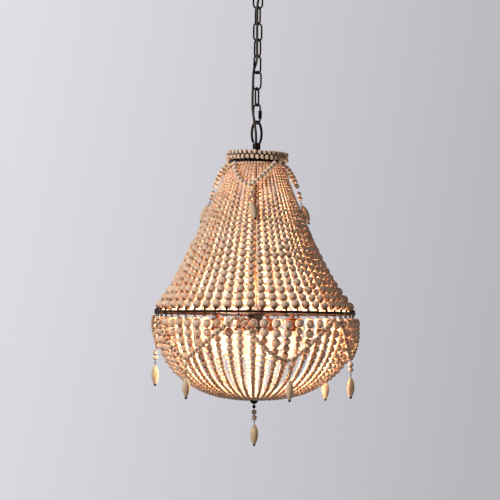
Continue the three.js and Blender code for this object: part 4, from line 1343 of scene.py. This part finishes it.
# %% One drop
def put_drop(label, name, body, turn, upper_lean=(0, 0), lower_lean=(0, 0)):
    """Beads, wire and spindle of one drop. It bends where its two eyes meet: the beads over them
    have one lean, outward and aside, and the spindle under them another."""
    bead, gap, length, radius = drop_sizes[label]
    heights_of_beads = np.array([-neck - bead / 2, -neck - 1.5 * bead])
    middle = -neck - 2 * bead - gap / 2
    pivot = hinges[body]
    joint = hung(shell([0, 0, middle], []), pivot, turn, *upper_lean)[0][0]

    def over(shape):
        return hung(shape, pivot, turn, *upper_lean)

    def under(shape):
        return hung(shape, joint, turn, *lower_lean)

    foot = -gap / 2 - length
    size = bead * rng.normal(drop_bead_share, drop_bead_change, 2)
    beads, values = bead_cloud(
        np.outer(heights_of_beads, (0, 0, 1)), np.array([[0.04, 0, 1.0]] * 2), size, rng, fine_bead)
    put(f"{name}_beads", over(beads), bead_wood, body, values=values)
    spindle = moved(spindle_shape(length, radius), (0, 0, foot))
    grain = spindle[0] + rng.uniform(-grain_reach, grain_reach, 3)
    from_middle = np.abs((spindle[0][:, 2] - foot) / length - 0.5) * 2
    put(f"{name}_spindle", under(spindle), drop_wood, body, [body], values={
        "tone": np.full(len(grain), rng.uniform(0.1, 0.5)), "grain": grain,
        "rim": spindle_rim * np.clip(
            (from_middle - spindle_rim_start) / spindle_rim_width, 0, 1)})
    eye = min(gap / 2 - 0.6, loop_most)
    put(f"{name}_wire", together([
        over(wire_pin(-neck - 0.6, -0.1, 10, 0.7)),
        over(moved(torus(eye * loop_share, loop_wire_radius, 14, 6, "x"),
                   (0, 0, middle + eye / 2))),
        over(wire_pin(middle + eye, middle + gap / 2 + 0.4)),
        under(moved(torus(eye * loop_share, loop_wire_radius, 14, 6, "y"), (0, 0, -eye / 2))),
        under(wire_pin(-gap / 2 - 0.6, -eye)),
        under(turned([(0, foot - tip), (1.6, foot - tip + 0.3), (2.4, foot + 0.6),
                      (2.9, foot + 1.8), (2.4, foot + 2.8), (0, foot + 2.8)], 14))]),
        wire_iron, body)


# %% Hang the drops
# The front drop of the shade is tied a little beside its swag's low point.
hinges = {joint["child"]: np.array(joint["pos_m"]) / MM for joint in frame["joints"]}
upper_turns = [-4, 90, 180, 270]
upper_leans = [((18, 11), (24, -14.5)), ((14, -10), (22, -16)), ((18, -4), (24, 6)),
               ((18, 3), (23.5, 5))]
for number, (turn, leans) in enumerate(zip(upper_turns, upper_leans), 1):
    put_drop("upper", f"shade_drop_{number}", f"upper_drop_{number}", turn, *leans)
for number, swag in enumerate(lower_swags, 1):
    put_drop("lower", f"basket_drop_{number}", f"lower_drop_{number}", swag[1])
put_drop("bottom", "last_drop", "bottom_drop", 0.0, (0, -2))
print("drops:", sum("drop" in body for body in hinges))

# %% [markdown]
# ## Floor, background and light
# The room is plain: a pale floor a storey below the ceiling, and an even pale grey background that
# is a little brighter on the left, where the window light comes from. The background's colour is
# only seen by the camera, by reflections and through glass, and everything else gets a faint warm
# light from the room. The object is lit by one soft window light from the upper left, a weak fill
# from the right and the lamps inside.

# %% The floor
floor_height, floor_radius, floor_sides = -2400.0, 3500.0, 96
floor_rings = [circle(floor_radius * share, floor_sides) for share in (0.2, 0.6, 1)]
floor_points = np.stack([np.column_stack([ring, np.full(floor_sides, floor_height)])
                         for ring in floor_rings])
floor_paint, tree, shader = new_material("floor_paint")
place = add(tree, "ShaderNodeTexCoord").outputs["Object"]
feed_all(tree, shader, Roughness=0.8, Base_Color=mix_colour(
    tree, noise(tree, place, 1.5, 3.0), (0.60, 0.60, 0.62), (0.66, 0.66, 0.68)))
floor_shape = shell(floor_points, grid_quads(3, floor_sides)[:, ::-1], [np.arange(floor_sides)])
show("floor", make_mesh("floor", floor_shape, floor_paint))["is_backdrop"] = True
print("floor at", floor_height, "mm")

# %% The background
# How far the view's direction goes to each side, and down and up, at the picture's edges.
view_left, view_right, view_low, view_high = -0.118, 0.118, -0.077, 0.17
world = bpy.data.worlds.new("room")
bpy.context.scene.world = world
world.use_nodes = True
tree = world.node_tree
tree.nodes.clear()
direction = add(tree, "ShaderNodeSeparateXYZ",
                Vector=add(tree, "ShaderNodeTexCoord").outputs["Generated"]).outputs
# Painted window light on the backdrop: it is lighter to the left, and a little darker towards the
# bottom.
backdrop = mix_colour(tree, map_range(tree, direction[0], view_left, view_right),
                      (0.745, 0.737, 0.792), (0.505, 0.494, 0.524))
seen = add(tree, "ShaderNodeBackground", Color=backdrop,
           Strength=map_range(tree, direction[2], view_low, view_high, 0.93, 1.0))
ambient = add(tree, "ShaderNodeBackground", Color=(1.0, 0.78, 0.62), Strength=0.05)
ray = add(tree, "ShaderNodeLightPath").outputs
looked_at = maths(tree, "MAXIMUM", ray["Is Camera Ray"], ray["Is Glossy Ray"])
looked_at = maths(tree, "MAXIMUM", looked_at, ray["Is Transmission Ray"])
mixer = add(tree, "ShaderNodeMixShader", Fac=looked_at)
feed(tree, mixer.inputs[1], ambient.outputs[0])
feed(tree, mixer.inputs[2], seen.outputs[0])
add(tree, "ShaderNodeOutputWorld", Surface=mixer.outputs[0])
print("background:", len(tree.nodes), "nodes")


# %% The studio lights
def area_light(name, place, size, power, colour, target=(0, 0, -0.65)):
    """A square soft light at a place in metres, aimed at a target."""
    data = bpy.data.lights.new(name, "AREA")
    data.size, data.energy, data.color = size, power, colour
    light = show(name, data, place)
    light.rotation_euler = (Vector(target) - Vector(place)).to_track_quat("-Z", "Y").to_euler()


area_light("window_light", (-2.3, -1.5, 0.6), 0.5, 84, (1.0, 0.98, 0.95))
area_light("fill_light", (1.6, -2.4, -0.1), 1.6, 10, (1.0, 0.97, 0.93))
bpy.context.scene.view_settings.view_transform = "Standard"

# %% The size of what is shown
low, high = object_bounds()
print("visual size:", [round(b - a, 4) for a, b in zip(low, high)])
